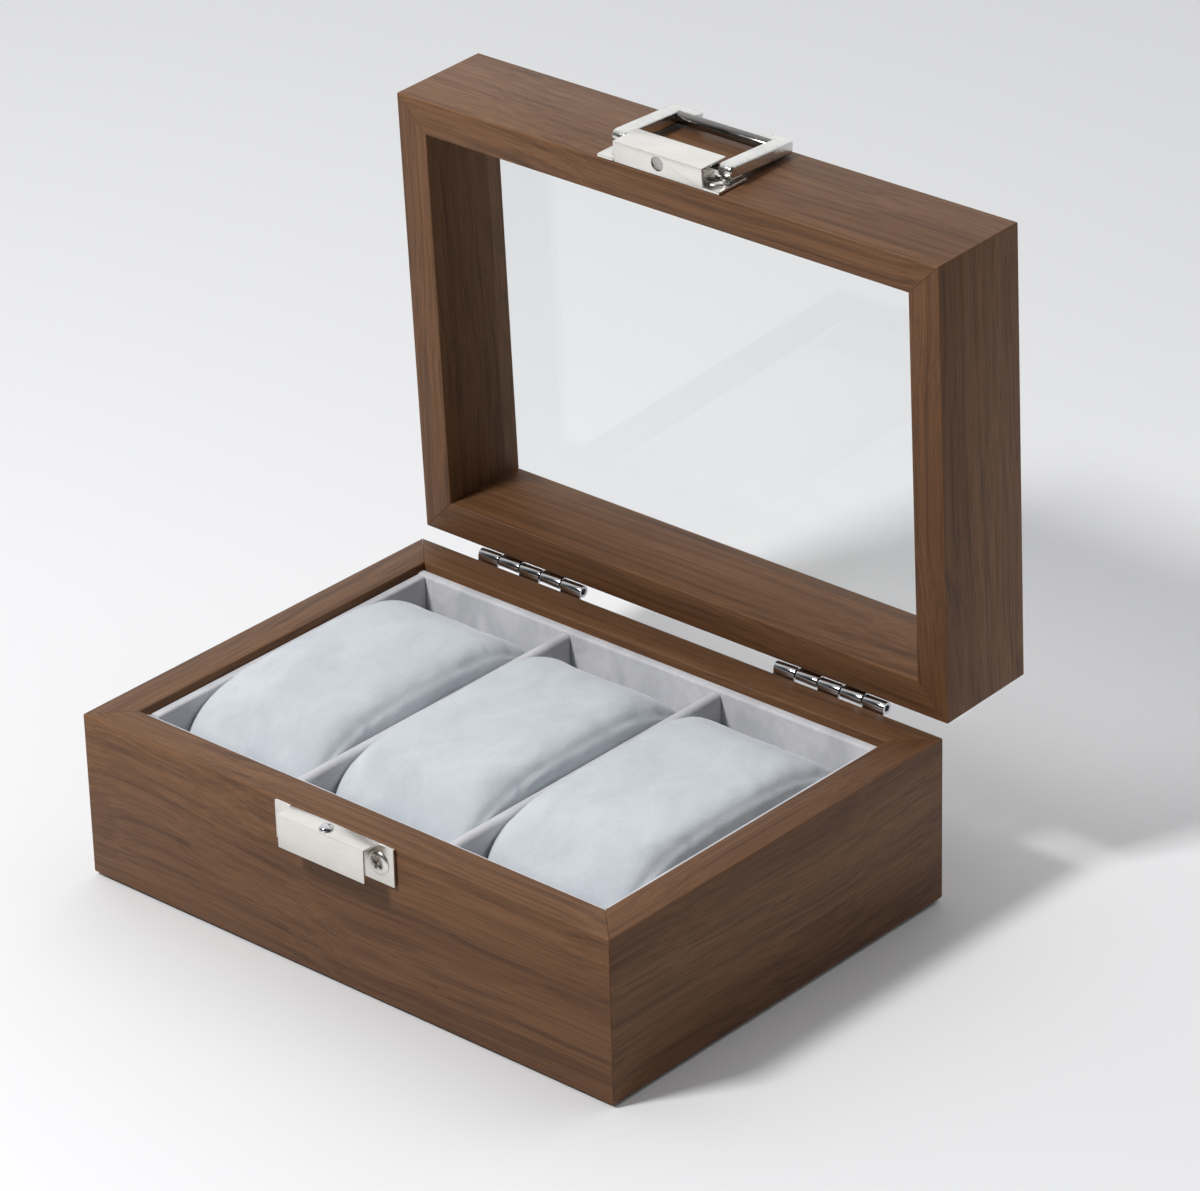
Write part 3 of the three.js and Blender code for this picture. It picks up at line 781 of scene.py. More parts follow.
def build_glass(glass):
    """The pane, with its edges ground."""
    low, high = local_box(LID_PLACE, "lid_glass")
    bm = block(low, high)
    ease(bm, bm.edges, glass.edge, 2)
    pane = add_object("lid_pane", bm, LID_PLACE)
    complete(pane, "lid", "glass", ["lid_glass"], smooth=20)


# The rounding of the felt's rims, as a share of its thickness.
FELT_RIM = 0.4


def build_underside(lining):
    """The felt under the box and the fibreboard panel above it."""
    low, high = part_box("underside_felt")
    bm = block(low, high)
    ease(bm, [e for e in bm.edges if runs(e, Z)], lining.felt_corner, 8)
    rims = [e for e in sharp_edges(bm) if not runs(e, Z)]
    ease(bm, rims, (high.z - low.z) * FELT_RIM, 2)
    felt = add_object("felt_pad", bm)
    complete(felt, "base", "felt", ["underside_felt"], smooth=60)
    panel = frame["nodes"]["base_bottom_panel"]
    panel.data.materials.clear()
    panel.data.materials.append(finish("fibreboard"))


# ---------------------------------------------------------------- lining

# The rounding of the dividers and of the floor, as a share of their thickness.
DIVIDER_ROUND = 0.42
FLOOR_ROUND = 0.25


def build_velvet_board(node, radius, segments):
    """A velvet-covered board the size of a node, with its two long upper edges rounded."""
    low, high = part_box(node)
    bm = block(low, high)
    length = X if high.x - low.x > high.y - low.y else Y
    upper = [e for e in bm.edges if runs(e, length) and e.verts[0].co.z > high.z - TOUCH]
    ease(bm, upper, radius, segments)
    made = add_object(f"{node}_velvet", bm)
    complete(made, "base", "velvet", [node], smooth=50)


def build_lining(lining):
    """The velvet floor, the four walls and the two dividers."""
    for side in ("front", "back", "left", "right"):
        build_velvet_board(f"liner_{side}", lining.edge, 4)
    for side, _ in HANDS:
        low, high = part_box(f"divider_{side}")
        build_velvet_board(f"divider_{side}", (high.x - low.x) * DIVIDER_ROUND, 6)
    low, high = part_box("liner_floor")
    bm = block(low, high)
    ease(bm, bm.edges, (high.z - low.z) * FLOOR_ROUND, 2)
    floor = add_object("liner_floor_velvet", bm)
    complete(floor, "base", "velvet", ["liner_floor"], smooth=50)


# ---------------------------------------------------------------- pillows

PILLOWS = ("pillow_left", "pillow_middle", "pillow_right")
# The cover: the power that squares its section, its size before it is stuffed as a share of the
# pillow's, its cuts along each axis, how far the gathers reach and how uneven it is.
SQUARENESS = 0.73
BLANK_SHARE = (0.97, 0.96, 0.94)
COVER_CUTS = (21, 43, 25)
GATHER_REACH = 0.30
UNEVEN = 0.016
# The simulation: it runs on a larger cover, and its travel is held back afterwards.
SIM_SCALE = 10.0
SIM_FRAMES = 20
MOST_TRAVEL = 1.8 * MM
# The fit: the share of each reach that is pressed flat, how far the cover is overfilled, what is
# left of it below the foot, how far it sinks, its gaps and the gather weight where a seam starts.
CONTACT = (0.03, 0.07, 0.07)
OVERFILL = 1.03
FOOT_GIVE = 0.02
SUNK = 1.6 * MM
PILLOW_INSET = Vector((0.1, 0.2, 0.0)) * MM
SEAM_START = 0.86


def signed_power(value, power):
    """A power of a number that keeps the number's sign."""
    return math.copysign(abs(value) ** power, value)


def round_section(bm, half, fullness):
    """Turns a cube into a squared oval tube along X whose ends are rounded over."""
    for vert in bm.verts:
        x, a, b = vert.co
        ring = max(abs(a), abs(b))
        turn = math.atan2(b * math.sqrt(1 - a * a / 2), a * math.sqrt(1 - b * b / 2))
        shrink = (abs(x) ** fullness + ring**fullness) ** (1 / fullness)
        shrink /= max(abs(x), ring)
        vert.co = Vector(
            (
                x / shrink * half.x,
                ring / shrink * signed_power(math.cos(turn), SQUARENESS) * half.y,
                ring / shrink * signed_power(math.sin(turn), SQUARENESS) * half.z,
            )
        )


def cut_across(bm, axis, cuts):
    """Cuts every edge along one axis into equal parts."""
    edges = [e for e in bm.edges if not any(runs(e, k) for k in (X, Y, Z) if k != axis)]
    bmesh.ops.subdivide_edges(bm, edges=edges, cuts=cuts, use_grid_fill=True)


def pillow_blank(half, seed, fullness):
    """The cover before it is stuffed: an oval tube closed by two ends."""
    bm = bmesh.new()
    bmesh.ops.create_cube(bm, size=2.0)
    for axis, cuts in enumerate(COVER_CUTS):
        cut_across(bm, axis, cuts)
    seam = bm.verts.layers.deform.verify()
    for vert in bm.verts:
        off_end = 1 - abs(vert.co.x)
        off_ring = 1 - max(abs(vert.co.y), abs(vert.co.z))
        away = math.hypot(off_end * 1.2, off_ring * 2.0)
        vert[seam][0] = max(0.0, 1 - away / GATHER_REACH)
    round_section(bm, half, fullness)
    for vert in bm.verts:
        point = vert.co / half.y
        push = noise.noise(point * 3.1 + Vector((seed * 7.3, 0, 0)))
        push += 0.6 * noise.noise(point * 7.7 + Vector((0, seed * 5.1, 0)))
        vert.co += Vector((0.4, 1, 1)) * push * half.z * UNEVEN
    return bm


def stuff(obj, lining):
    """Swells a cover by a cloth simulation, with its end seams gathered."""
    modifier = obj.modifiers.new("Stuffing", "CLOTH")
    cloth = modifier.settings
    cloth.quality = 7
    cloth.mass = 0.3
    cloth.tension_stiffness = 12
    cloth.compression_stiffness = 6
    cloth.shear_stiffness = 5
    cloth.bending_stiffness = 0.35
    cloth.tension_damping = 8
    cloth.compression_damping = 8
    cloth.air_damping = 2.0
    cloth.use_pressure = True
    cloth.uniform_pressure_force = lining.pressure
    cloth.effector_weights.gravity = 0
    cloth.shrink_min = 0.0
    cloth.shrink_max = lining.gather
    cloth.vertex_group_shrink = obj.vertex_groups[0].name
    modifier.collision_settings.use_collision = False
    modifier.point_cache.frame_start = 1
    modifier.point_cache.frame_end = SIM_FRAMES
    scene = bpy.context.scene
    for step in range(1, SIM_FRAMES + 1):
        scene.frame_set(step)
    bake_modifiers(obj)
    scene.frame_set(1)


def cap_travel(obj, before, furthest):
    """Holds each vertex within a distance of where it was."""
    for vert, old in zip(obj.data.vertices, before):
        moved = vert.co - old
        if moved.length > furthest:
            vert.co = old + moved * (furthest / moved.length)


def pressed(portion, contact):
    """A distance from the middle, as a share of the reach, pressed flat near the reach."""
    start = 1 - contact
    if abs(portion) <= start:
        return portion
    return math.copysign(1 - contact * math.exp((start - abs(portion)) / contact), portion)


def fit_pillow(obj, low, high, start):
    """Fits a stuffed cover to its place; it presses on the dividers and its foot is flat."""
    sink = Vector((0, 0, SUNK / 2))
    reach = (high - low) / 2 + sink
    middle = (low + high) / 2 - sink
    for vert in obj.data.vertices:
        for k in (X, Y, Z):
            portion = pressed(vert.co[k] / start[k] * OVERFILL, CONTACT[k])
            vert.co[k] = middle[k] + reach[k] * portion
        lift = low.z - vert.co.z
        if lift > 0:
            vert.co.z = low.z + FOOT_GIVE * lift


def sew_seam(obj, rings, depth):
    """Draws the seam at each end in by its depth."""
    normals = [v.normal.copy() for v in obj.data.vertices]
    for index, weight in rings:
        vert = obj.data.vertices[index]
        vert.co -= normals[index] * depth * weight


def build_pillow(node, seed, lining):
    """One stuffed velvet pillow."""
    low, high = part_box(node)
    half = (high - low) / 2
    start = Vector([h * s for h, s in zip(half, BLANK_SHARE)]) * SIM_SCALE
    pillow = add_object(f"{node}_cushion", pillow_blank(start, seed, lining.fullness))
    pillow.vertex_groups.new(name="seam")
    before = [v.co.copy() for v in pillow.data.vertices]
    stuff(pillow, lining)
    cap_travel(pillow, before, MOST_TRAVEL * SIM_SCALE)
    rings = [
        (v.index, min(1.0, (g.weight - SEAM_START) / (1 - SEAM_START)))
        for v in pillow.data.vertices
        for g in v.groups
        if g.weight > SEAM_START
    ]
    fit_pillow(pillow, low + PILLOW_INSET, high - PILLOW_INSET, start)
    sew_seam(pillow, rings, lining.seam)
    pillow.vertex_groups.clear()
    smoother = pillow.modifiers.new("Smoother", "SUBSURF")
    smoother.levels = 1
    smoother.render_levels = 1
    bake_modifiers(pillow)
    bodies = frame["record"]["behaviour"]["bodies"]
    body = next(b for b, nodes in bodies.items() if node in nodes)
    complete(pillow, body, "pillow_velvet", [node], smooth=180)


def build_pillows(lining):
    """The three pillows."""
    for seed, node in enumerate(PILLOWS, start=1):
        build_pillow(node, seed, lining)


# ---------------------------------------------------------------- folded plates


# The slit beside the hood that lets it fold clear of the wings.
RELIEF = 0.25 * MM


def row_of_edges(bm, xs, y, z):
    """A row of joined edges along X."""
    verts = [bm.verts.new((x, y, z)) for x in xs]
    return [bm.edges.new(pair) for pair in zip(verts, verts[1:])]


def draw_edges(bm, edges, vec):
    """Draws edges out into faces and gives the far edges."""
    made = bmesh.ops.extrude_edge_only(bm, edges=edges)["geom"]
    verts = [g for g in made if isinstance(g, bmesh.types.BMVert)]
    bmesh.ops.translate(bm, vec=vec, verts=verts)
    far = set(verts)
    return [g for g in made if isinstance(g, bmesh.types.BMEdge) and far.issuperset(g.verts)]


def spin(bm, geom, centre, axis, angle, steps, use_merge):
    """Spins points and edges about an axis into faces."""
    bmesh.ops.spin(
        bm,
        geom=geom,
        cent=centre,
        axis=axis,
        dvec=(0, 0, 0),
        angle=angle,
        steps=steps,
        use_merge=use_merge,
        use_normal_flip=False,
        use_duplicate=False,
    )


def thicken(obj, thickness, edge):
    """Gives a sheet its thickness and eases its edges."""
    solid = obj.modifiers.new("Sheet", "SOLIDIFY")
    solid.thickness = thickness
    solid.offset = 0.0
    solid.use_even_offset = True
    bake_modifiers(obj)
    eased = obj.modifiers.new("Deburred", "BEVEL")
    eased.width = edge
    eased.segments = 2
    eased.limit_method = "ANGLE"
    eased.angle_limit = math.radians(50)
    bake_modifiers(obj)


def folded_plate(name, seam_z, away, low, high, metal):
    """A flange, a ledge out at the seam and a skirt turned back, folded from one sheet.

    It is drawn with the seam at z 0 and the flange running down, and then put where it belongs.
    """
    front = high.y - metal.sheet / 2
    skirt_y = low.y + metal.sheet / 2
    half_hood = metal.hood_width / 2
    flange_foot = low.z - high.z
    ledge_z = -metal.sheet / 2
    bm = bmesh.new()
    row = row_of_edges(bm, (-half_hood, 0.0, half_hood), front, flange_foot)
    row = draw_edges(bm, row, (0, 0, ledge_z - flange_foot))
    flange_sides = [
        e for e in bm.edges if runs(e, Z) and abs(e.verts[0].co.x) > half_hood - TOUCH
    ]
    row = draw_edges(bm, row, (0, skirt_y - front, 0))
    draw_edges(bm, row, (0, 0, -metal.skirt - ledge_z))
    for edge in flange_sides:
        sign = math.copysign(1, edge.verts[0].co.x)
        wing = draw_edges(bm, [edge], (sign * RELIEF, 0, 0))
        draw_edges(bm, wing, (sign * (high.x - half_hood - RELIEF), 0, 0))
        raised = edges_where(
            bm,
            lambda p: abs(p.z - ledge_z) < TOUCH and sign * p.x > half_hood + TOUCH,
        )
        draw_edges(bm, raised, (0, 0, -ledge_z))
    lie = Matrix.Translation((0, 0, seam_z)) @ Matrix.Scale(-away, 4, (0, 0, 1))
    bmesh.ops.transform(bm, matrix=lie, verts=bm.verts)
    plate = add_object(name, bm)
    thicken(plate, metal.sheet, metal.deburr)
    return plate


def hole_through(centre, radius, depth, segments):
    """A cutter for a round hole along Z."""
    bm = bmesh.new()
    bmesh.ops.create_cone(
        bm, cap_ends=True, segments=segments, radius1=radius, radius2=radius, depth=depth
    )
    bmesh.ops.translate(bm, vec=centre, verts=bm.verts)
    return bm


def lathe(profile, segments):
    """Spins a profile of radius and height about Z into a closed shape."""
    bm = bmesh.new()
    verts = [bm.verts.new((r, 0, h)) for r, h in profile]
    edges = [bm.edges.new(pair) for pair in zip(verts, verts[1:])]
    spin(bm, verts + edges, (0, 0, 0), (0, 0, 1), math.tau, segments, use_merge=True)
    bmesh.ops.remove_doubles(bm, verts=bm.verts, dist=WELD)
    return bm


# Each pair of a dome is a share of its radius and a share of its height.
PAN_HEAD = ((0.0, 1.0), (0.55, 0.98), (0.78, 0.86), (0.93, 0.55), (1.0, 0.2), (0.985, 0.0))
STUD_DOME = (
    (0.0, 1.0), (0.3, 0.97), (0.58, 0.84), (0.8, 0.62), (0.94, 0.36), (1.0, 0.1), (0.97, 0.0)
)
# A screw: its shank and its head as shares of the head's radius, the most that a head stands up
# and how far its seat is below the top of the node.
SHANK = 0.38
HEAD_SHARE = 0.3
HEAD_HEIGHT = 0.62 * MM
SEAT_DEPTH = 0.45 * MM
# A recess's cutter: its size as shares of the head's radius, radius and height, how far it is
# raised as a share of the height, and what is left of it at its lower end.
RECESS = (1.36, 0.3, 4.4)
RECESS_RISE = 0.2
RECESS_TAPER = (0.3, 0.45, 1.0)
# Heads wider than this belong to the plates and are nickel.
HINGE_HEAD = 2.5 * MM
# The stud's neck, its riveted tail and the tail's foot, as shares of its radius.
STUD_TAIL = (0.6, 0.76, 0.7)
RIVET_EDGE = 0.4 * MM
RIVET_DEPTH = 0.5 * MM


def dome(shares, radius, height):
    """The profile of a round head from its middle down to its seat."""
    return [(radius * r, height * h) for r, h in shares]


def screw_bm(radius, height, length, segments):
    """A pan-head screw standing on its head's seat, with the point down."""
    shank = radius * SHANK
    foot = [(shank, 0.0), (shank, -length * 0.8), (0.0, -length)]
    return lathe(dome(PAN_HEAD, radius, height) + foot, segments)


def cross_recess(radius, height):
    """The two tapered cutters of a cross recess."""
    cutters = []
    for turn in (0, math.pi / 2):
        bm = bmesh.new()
        bmesh.ops.create_cube(bm, size=1.0)
        spread = (radius * RECESS[X], radius * RECESS[Y], height * RECESS[Z])
        bmesh.ops.scale(bm, vec=spread, verts=bm.verts)
        bmesh.ops.translate(bm, vec=(0, 0, height * RECESS_RISE), verts=bm.verts)
        lower = [v for v in bm.verts if v.co.z < 0]
        bmesh.ops.scale(bm, vec=RECESS_TAPER, verts=lower)
        bmesh.ops.rotate(
            bm, cent=(0, 0, 0), matrix=Matrix.Rotation(turn, 3, "Z"), verts=bm.verts
        )
        cutters.append(bm)
    return cutters


def build_screw(node, body, place, facing, turn, metal):
    """One screw, its head towards the way it faces along Y."""
    low, high = local_box(place, node)
    radius = (high.x - low.x) / 2
    centre = (low + high) / 2
    head = min(radius * HEAD_SHARE, HEAD_HEIGHT)
    seat = low.y + SEAT_DEPTH if facing < 0 else high.y - SEAT_DEPTH
    lie = (
        place
        @ Matrix.Translation((centre.x, seat, centre.z))
        @ Matrix.Rotation(-facing * math.pi / 2, 4, "X")
        @ Matrix.Rotation(turn, 4, "Z")
    )
    bm = screw_bm(radius, head, high.y - low.y - SEAT_DEPTH, metal.segments)
    screw = add_object(f"{node}_head", bm)
    cut(screw, *cross_recess(radius, head))
    screw.data.transform(lie)
    key = "nickel" if radius > HINGE_HEAD else "chrome"
    complete(screw, body, key, [node], smooth=35)


def build_plate_screws(prefix, body, place, metal):
    """The two screws of a folded plate, each stopped at its own turn."""
    for side, turn in (("left", 0.5), ("right", 1.1)):
        build_screw(f"{prefix}_screw_{side}", body, place, -1, turn, metal)


def build_catch(metal):
    """The catch plate on the base, its stud and its screws."""
    low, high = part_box("catch_plate")
    plate = folded_plate("catch_folded_plate", high.z, -1, low, high, metal)
    complete(plate, "base", "nickel", ["catch_plate"], smooth=35)
    build_plate_screws("catch", "base", BASE_PLACE, metal)
    stud_low, stud_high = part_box("catch_stud")
    radius = (stud_high.x - stud_low.x) / 2
    neck, rivet, foot = (radius * s for s in STUD_TAIL)
    tail = [
        (neck, 0.0),
        (neck, -metal.sheet),
        (rivet, -metal.sheet),
        (foot, -metal.sheet - RIVET_EDGE),
        (0.0, -metal.sheet - RIVET_DEPTH),
    ]
    bm = lathe(dome(STUD_DOME, radius, stud_high.z - high.z) + tail, metal.segments)
    centre = (stud_low + stud_high) / 2
    place = Matrix.Translation((centre.x, centre.y, high.z))
    stud = add_object("catch_domed_stud", bm, place)
    complete(stud, "base", "chrome", ["catch_stud"], smooth=50)


# The ears stand at a share of the hood's width, stop short of the plate by a share of the sheet
# and reach above and below the pin. The hole leaves room round the stud.
EAR_PLACE = 0.36
EAR_GAP = 0.7
EAR_HALF = 2 * MM
HOLE_ROOM = 0.12 * MM
HOLE_DEPTH = 3 * MM
PIN_ROUND = 0.3


def build_clasp(metal):
    """The clasp plate on the lid, its ears, its pin and its screws."""
    low, high = local_box(LID_PLACE, "clasp_plate")
    plate = folded_plate("clasp_folded_plate", low.z, 1, low, high, metal)
    stud_low, stud_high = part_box("catch_stud")
    stud = (stud_low + stud_high) / 2
    radius = (stud_high.x - stud_low.x) / 2 + HOLE_ROOM
    cut(plate, hole_through((stud.x, stud.y, low.z), radius, HOLE_DEPTH, metal.segments))
    plate.data.transform(LID_PLACE)
    complete(plate, "lid", "nickel", ["clasp_plate"], smooth=35)
    pin_low, pin_high = local_box(LID_PLACE, "bail_pivot_pin")
    pin_radius = (pin_high.z - pin_low.z) / 2
    pin_middle = (pin_low + pin_high) / 2
    for side, sign in HANDS:
        x = sign * metal.hood_width * EAR_PLACE
        ear = block(
            (x - metal.sheet / 2, low.y + metal.sheet * EAR_GAP, pin_middle.z - EAR_HALF),
            (x + metal.sheet / 2, high.y - metal.sheet * EAR_GAP, pin_middle.z + EAR_HALF),
        )
        ease(ear, ear.edges, metal.deburr, 2)
        made = add_object(f"clasp_ear_{side}", ear, LID_PLACE)
        complete(made, "lid", "nickel", [], smooth=35)
    pin = rod(pin_radius, pin_low.x, pin_high.x, pin_middle.y, pin_middle.z, metal.segments)
    ease(pin, sharp_edges(pin), pin_radius * PIN_ROUND, 2)
    made = add_object("bail_pin", pin, LID_PLACE)
    complete(made, "lid", "steel", ["bail_pivot_pin"], smooth=35)
    build_plate_screws("clasp", "lid", LID_PLACE, metal)


# ---------------------------------------------------------------- bail


# How far an arm covers the pin, the rounding of its pivot end as a share of its thickness, and
# how far the rod stays inside the arms.
ARM_OVERLAP = 2.4 * MM
PIVOT_ROUND = 0.47
ROD_INSET = 1.0 * MM
ROD_ROUND = 0.2


def bail_arm(low, high, sign, metal):
    """One arm with its inward stub, rounded all over. Its pivot end is half round."""
    pin_low, pin_high = local_box(LID_PLACE, "bail_pivot_pin")
    inner_x = max(-pin_low.x, pin_high.x) - ARM_OVERLAP
    outer_x = high.x if sign > 0 else -low.x
    tip_x = low.x if sign > 0 else -high.x
    stub_z = high.z - metal.stub_depth
    bm = block((inner_x, low.y, low.z), (outer_x, high.y, high.z))
    slice_at(bm, (0, 0, stub_z), (0, 0, 1))
    face = next(
        f for f in bm.faces if f.normal.x < -0.9 and f.calc_center_median().z > stub_z
    )
    push_face(bm, face, (tip_x - inner_x, 0, 0))
    foot = [e for e in edges_where(bm, lambda p: p.z < low.z + TOUCH) if runs(e, X)]
    ease(bm, foot, (high.y - low.y) * PIVOT_ROUND, 9)
    bmesh.ops.dissolve_limit(
        bm,
        angle_limit=math.radians(1),
        verts=bm.verts,
        edges=bm.edges,
        use_dissolve_boundaries=False,
    )
    ease(bm, sharp_edges(bm, 40), metal.arm_round, 5)
    if sign < 0:
        bmesh.ops.scale(bm, vec=(-1, 1, 1), verts=bm.verts)
        bmesh.ops.reverse_faces(bm, faces=bm.faces)
    return bm


def build_bail(metal):
    """The two arms of the bail and the rod between them."""
    for side, sign in HANDS:
        node = f"bail_arm_{side}"
        low, high = local_box(BAIL_PLACE, node)
        arm = add_object(f"bail_{side}_arm", bail_arm(low, high, sign, metal), BAIL_PLACE)
        complete(arm, "bail", "cast", [node], smooth=45)
    low, high = local_box(BAIL_PLACE, "bail_rod")
    radius = (high.y - low.y) / 2
    middle = (low + high) / 2
    reach = high.x - ROD_INSET
    bm = rod(radius, -reach, reach, middle.y, middle.z, metal.segments)
    ease(bm, sharp_edges(bm), radius * ROD_ROUND, 2)
    made = add_object("bail_latch_rod", bm, BAIL_PLACE)
    complete(made, "bail", "steel", ["bail_rod"], smooth=35)


# ---------------------------------------------------------------- hinges

KNUCKLES = 5
# How far the knuckles reach past the pin's node, where a leaf starts to bend, how far the bend
# takes, how far it rolls round the pin, a leaf's corner radius and how far a pin stays inside.
KNUCKLE_PROUD = 0.3 * MM
SHOULDER = 0.35 * MM
SET_BACK = 0.9 * MM
ROLL_DEGREES = 318
LEAF_CORNER = 1.2 * MM
PIN_INSET = 1.3 * MM
AXLE_ROUND = 0.35


def build_leaf(node, body, place, first, metal):
    """A leaf rolled into its knuckles from one sheet."""
    low, high = local_box(place, node)
    axis = Vector(LID_HINGE["pos_m"])
    up = 1 if high.z - axis.z > axis.z - low.z else -1
    far_z = high.z if up > 0 else low.z
    radius = high.y - axis.y
    shoulder_z = axis.z + up * (radius + SHOULDER)
    flat_y = low.y + metal.leaf / 2
    roll_y = axis.y - radius + metal.leaf / 2
    pin_low, pin_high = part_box("hinge_left_pin" if high.x < 0 else "hinge_right_pin")
    length = pin_high.x - pin_low.x + 2 * KNUCKLE_PROUD
    pitch = (length + metal.knuckle_gap) / KNUCKLES
    knuckle = pitch - metal.knuckle_gap
    starts = [pin_low.x - KNUCKLE_PROUD + k * pitch for k in range(KNUCKLES)]
    xs = [x for start in starts for x in (start, start + knuckle)]
    bm = bmesh.new()
    row = row_of_edges(bm, xs, flat_y, far_z)
    row = draw_edges(bm, row, (0, 0, shoulder_z - far_z))
    kept = [
        e
        for start in starts[first::2]
        for e in row
        if all(start - TOUCH < v.co.x < start + knuckle + TOUCH for v in e.verts)
    ]
    kept = draw_edges(bm, kept, (0, roll_y - flat_y, -up * SET_BACK))
    kept = draw_edges(bm, kept, (0, 0, axis.z - shoulder_z + up * SET_BACK))
    rolled = list(dict.fromkeys(v for e in kept for v in e.verts)) + kept
    spin(bm, rolled, axis, (1, 0, 0), up * math.radians(ROLL_DEGREES), 30, use_merge=False)
    corners = [
        v
        for v in bm.verts
        if abs(v.co.z - far_z) < TOUCH and min(abs(v.co.x - xs[0]), abs(v.co.x - xs[-1])) < TOUCH
    ]
    ease(bm, corners, LEAF_CORNER, 5, affect="VERTICES")
    leaf = add_object(f"{node}_rolled", bm)
    thicken(leaf, metal.leaf, metal.deburr)
    leaf.data.transform(place)
    complete(leaf, body, "chrome", [node], smooth=35)


def build_hinges(metal):
    """The four leaves, the two pins and the eight screws."""
    for side, _ in HANDS:
        build_leaf(f"hinge_{side}_base_leaf", "base", BASE_PLACE, 0, metal)
        build_leaf(f"hinge_{side}_lid_leaf", "lid", LID_PLACE, 1, metal)
        low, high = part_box(f"hinge_{side}_pin")
        middle = (low + high) / 2
        radius = (high.z - low.z) / 2
        ends = (low.x + PIN_INSET, high.x - PIN_INSET)
        bm = rod(radius, *ends, middle.y, middle.z, metal.segments)
        ease(bm, sharp_edges(bm), radius * AXLE_ROUND, 3)
        pin = add_object(f"hinge_{side}_axle", bm)
        complete(pin, "base", "steel", [f"hinge_{side}_pin"], smooth=35)
        for body, place in (("base", BASE_PLACE), ("lid", LID_PLACE)):
            for index, turn in ((1, 0.3), (2, 1.0)):
                node = f"hinge_{side}_{body}_screw_{index}"
                build_screw(node, body, place, 1, turn, metal)


# ---------------------------------------------------------------- stage


FLOOR_DROP = 0.02 * MM
# The ways to the bright sky and to the key light, and the camera's place and its own axes.
SKY_WAY = Vector((-0.45, 0.80, 0.40))
KEY_TARGET = Vector((0, 0, 0.06))
KEY_WAY = Vector((-0.24, -0.60, 0.765))
CAMERA_PLACE = (0.7822, -0.8351, 0.6669)
CAMERA_FORWARD = Vector((-0.595, 0.6594, -0.4596))
CAMERA_RIGHT = Vector((0.7505, 0.6604, -0.0242))


def add_light(name, place, target, power, width):
    """A square area light that looks at a point."""
    data = bpy.data.lights.new(name, "AREA")
    data.energy = power
    data.shape = "SQUARE"
    data.size = width
    lamp = bpy.data.objects.new(name, data)
    bpy.context.scene.collection.objects.link(lamp)
    lamp.location = place
    lamp.rotation_mode = "QUATERNION"
    lamp.rotation_quaternion = (Vector(target) - Vector(place)).to_track_quat("-Z", "Y")


def build_sky(stage):
    """A world that is bright on one side and dim on the other."""
    world = bpy.data.worlds.new("Studio")
    bpy.context.scene.world = world
    world.use_nodes = True
    tree = world.node_tree
    direction = add_node(tree, "ShaderNodeTexCoord").outputs["Generated"]
    towards = add_node(
        tree,
        "ShaderNodeVectorMath",
        {0: direction, 1: SKY_WAY.normalized()},
        operation="DOT_PRODUCT",
    ).outputs["Value"]
    strength = span(
        tree, towards, -0.15, 0.75, stage.shade, stage.sky, interpolation_type="SMOOTHSTEP"
    )
    fill(tree, tree.nodes["Background"], {"Color": (0.98, 0.99, 1.0, 1), "Strength": strength})


def add_camera(stage):
    """The camera, square to its own way forward."""
    data = bpy.data.cameras.new("Camera")
    data.lens = stage.lens
    data.sensor_width = 36
    data.sensor_fit = "HORIZONTAL"
    data.clip_start = 0.01
    data.clip_end = 50
    camera = bpy.data.objects.new("Camera", data)
    scene = bpy.context.scene
    scene.collection.objects.link(camera)
    forward = CAMERA_FORWARD.normalized()
    right = (CAMERA_RIGHT - forward * CAMERA_RIGHT.dot(forward)).normalized()
    turn = Matrix((right, right.cross(forward), -forward)).transposed().to_4x4()
    camera.matrix_world = Matrix.Translation(CAMERA_PLACE) @ turn
    scene.camera = camera


def build_stage(stage):
    """The floor, the sky, the key light and the camera."""
    bm = bmesh.new()
    bmesh.ops.create_grid(bm, x_segments=2, y_segments=2, size=stage.floor_size / 2)
    drop = Matrix.Translation((0, 0, -FLOOR_DROP))
    floor = add_object("floor", bm, drop, recalculate=False)
    floor.data.materials.append(finish("floor"))
    build_sky(stage)
    place = KEY_TARGET + KEY_WAY.normalized() * stage.key_distance
    add_light("Key", place, KEY_TARGET, stage.key_power, stage.key_width)
    add_camera(stage)
    bpy.context.scene.view_settings.view_transform = "Standard"


# ---------------------------------------------------------------- add-on


class WATCHBOX_OT_base_boards(bpy.types.Operator):
    """Build the base's four veneered boards"""

    bl_idname = "watch_box.base_boards"
    bl_label = "Base boards"

    def execute(self, context):
        build_base_boards(context.scene.watch_box_wood)
        return {"FINISHED"}


class WATCHBOX_OT_lid_boards(bpy.types.Operator):
    """Build the lid's four veneered boards"""

    bl_idname = "watch_box.lid_boards"
    bl_label = "Lid boards"

    def execute(self, context):
        build_lid_boards(context.scene.watch_box_wood)
        return {"FINISHED"}


class WATCHBOX_OT_glass(bpy.types.Operator):
    """Build the pane in the lid"""

    bl_idname = "watch_box.glass"
    bl_label = "Glass"

    def execute(self, context):
        build_glass(context.scene.watch_box_glass)
        return {"FINISHED"}


class WATCHBOX_OT_underside(bpy.types.Operator):
    """Build the felt under the box and finish the bottom panel"""

    bl_idname = "watch_box.underside"
    bl_label = "Underside"

    def execute(self, context):
        build_underside(context.scene.watch_box_lining)
        return {"FINISHED"}


class WATCHBOX_OT_lining(bpy.types.Operator):
    """Build the velvet lining and the dividers"""

    bl_idname = "watch_box.lining"
    bl_label = "Lining and dividers"

    def execute(self, context):
        build_lining(context.scene.watch_box_lining)
        return {"FINISHED"}


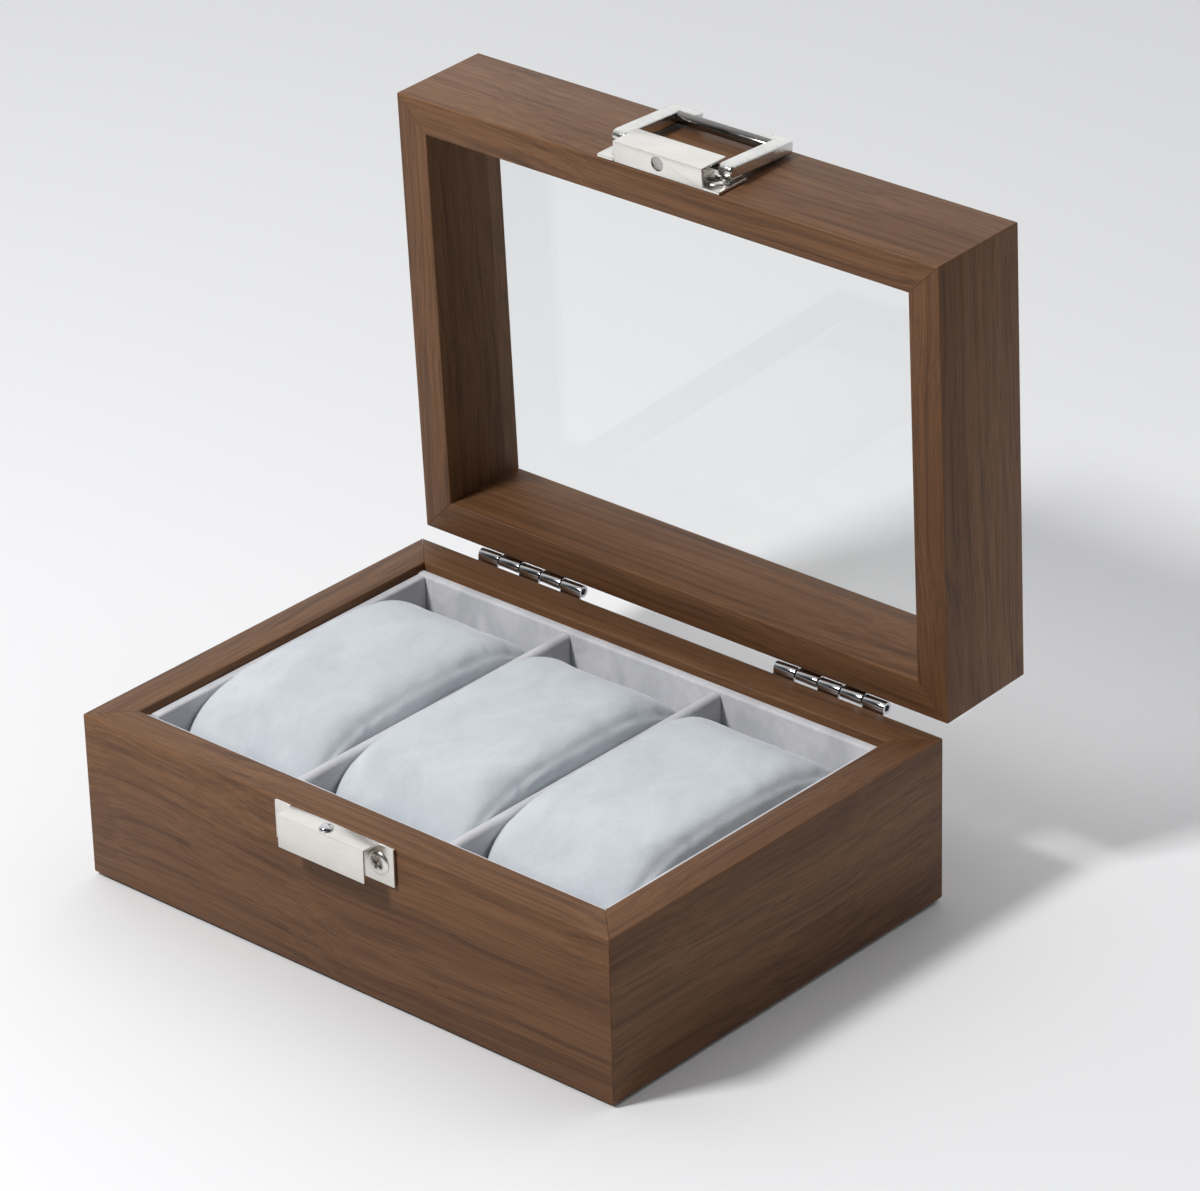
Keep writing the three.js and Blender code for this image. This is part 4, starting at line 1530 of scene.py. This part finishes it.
class WATCHBOX_OT_pillows(bpy.types.Operator):
    """Build the three stuffed pillows"""

    bl_idname = "watch_box.pillows"
    bl_label = "Pillows"

    def execute(self, context):
        build_pillows(context.scene.watch_box_lining)
        return {"FINISHED"}


class WATCHBOX_OT_catch(bpy.types.Operator):
    """Build the catch on the base"""

    bl_idname = "watch_box.catch"
    bl_label = "Catch"

    def execute(self, context):
        build_catch(context.scene.watch_box_metal)
        return {"FINISHED"}


class WATCHBOX_OT_clasp(bpy.types.Operator):
    """Build the clasp on the lid"""

    bl_idname = "watch_box.clasp"
    bl_label = "Clasp"

    def execute(self, context):
        build_clasp(context.scene.watch_box_metal)
        return {"FINISHED"}


class WATCHBOX_OT_bail(bpy.types.Operator):
    """Build the bail that snaps under the catch"""

    bl_idname = "watch_box.bail"
    bl_label = "Bail"

    def execute(self, context):
        build_bail(context.scene.watch_box_metal)
        return {"FINISHED"}


class WATCHBOX_OT_hinges(bpy.types.Operator):
    """Build the two hinges with their pins and screws"""

    bl_idname = "watch_box.hinges"
    bl_label = "Hinges"

    def execute(self, context):
        build_hinges(context.scene.watch_box_metal)
        return {"FINISHED"}


class WATCHBOX_OT_stage(bpy.types.Operator):
    """Set the floor, the lights and the camera"""

    bl_idname = "watch_box.stage"
    bl_label = "Stage"

    def execute(self, context):
        build_stage(context.scene.watch_box_stage)
        return {"FINISHED"}


OPERATORS = (
    WATCHBOX_OT_stage,
    WATCHBOX_OT_base_boards,
    WATCHBOX_OT_lid_boards,
    WATCHBOX_OT_glass,
    WATCHBOX_OT_underside,
    WATCHBOX_OT_lining,
    WATCHBOX_OT_pillows,
    WATCHBOX_OT_catch,
    WATCHBOX_OT_clasp,
    WATCHBOX_OT_bail,
    WATCHBOX_OT_hinges,
)


class WATCHBOX_PT_panel(bpy.types.Panel):
    """Lists the box's pieces and their settings"""

    bl_idname = "WATCHBOX_PT_panel"
    bl_label = "Watch Box"
    bl_space_type = "VIEW_3D"
    bl_region_type = "UI"
    bl_category = "Watch Box"

    def draw(self, context):
        layout = self.layout
        for operator in OPERATORS:
            layout.operator(operator.bl_idname)
        for attribute, group in GROUPS:
            box = layout.box()
            box.label(text=group.__doc__)
            settings = getattr(context.scene, attribute)
            for key in group.__annotations__:
                box.prop(settings, key)


def register():
    for _, group in GROUPS:
        bpy.utils.register_class(group)
    for operator in OPERATORS:
        bpy.utils.register_class(operator)
    bpy.utils.register_class(WATCHBOX_PT_panel)
    for attribute, group in GROUPS:
        setattr(bpy.types.Scene, attribute, PointerProperty(type=group))


def unregister():
    for attribute, _ in GROUPS:
        delattr(bpy.types.Scene, attribute)
    bpy.utils.unregister_class(WATCHBOX_PT_panel)
    for operator in reversed(OPERATORS):
        bpy.utils.unregister_class(operator)
    for _, group in reversed(GROUPS):
        bpy.utils.unregister_class(group)


def main():
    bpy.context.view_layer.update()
    register()
    bpy.ops.watch_box.stage()
    bpy.ops.watch_box.base_boards()
    bpy.ops.watch_box.lid_boards()
    bpy.ops.watch_box.glass()
    bpy.ops.watch_box.underside()
    bpy.ops.watch_box.lining()
    bpy.ops.watch_box.pillows()
    bpy.ops.watch_box.catch()
    bpy.ops.watch_box.clasp()
    bpy.ops.watch_box.bail()
    bpy.ops.watch_box.hinges()


if __name__ == "__main__":
    main()
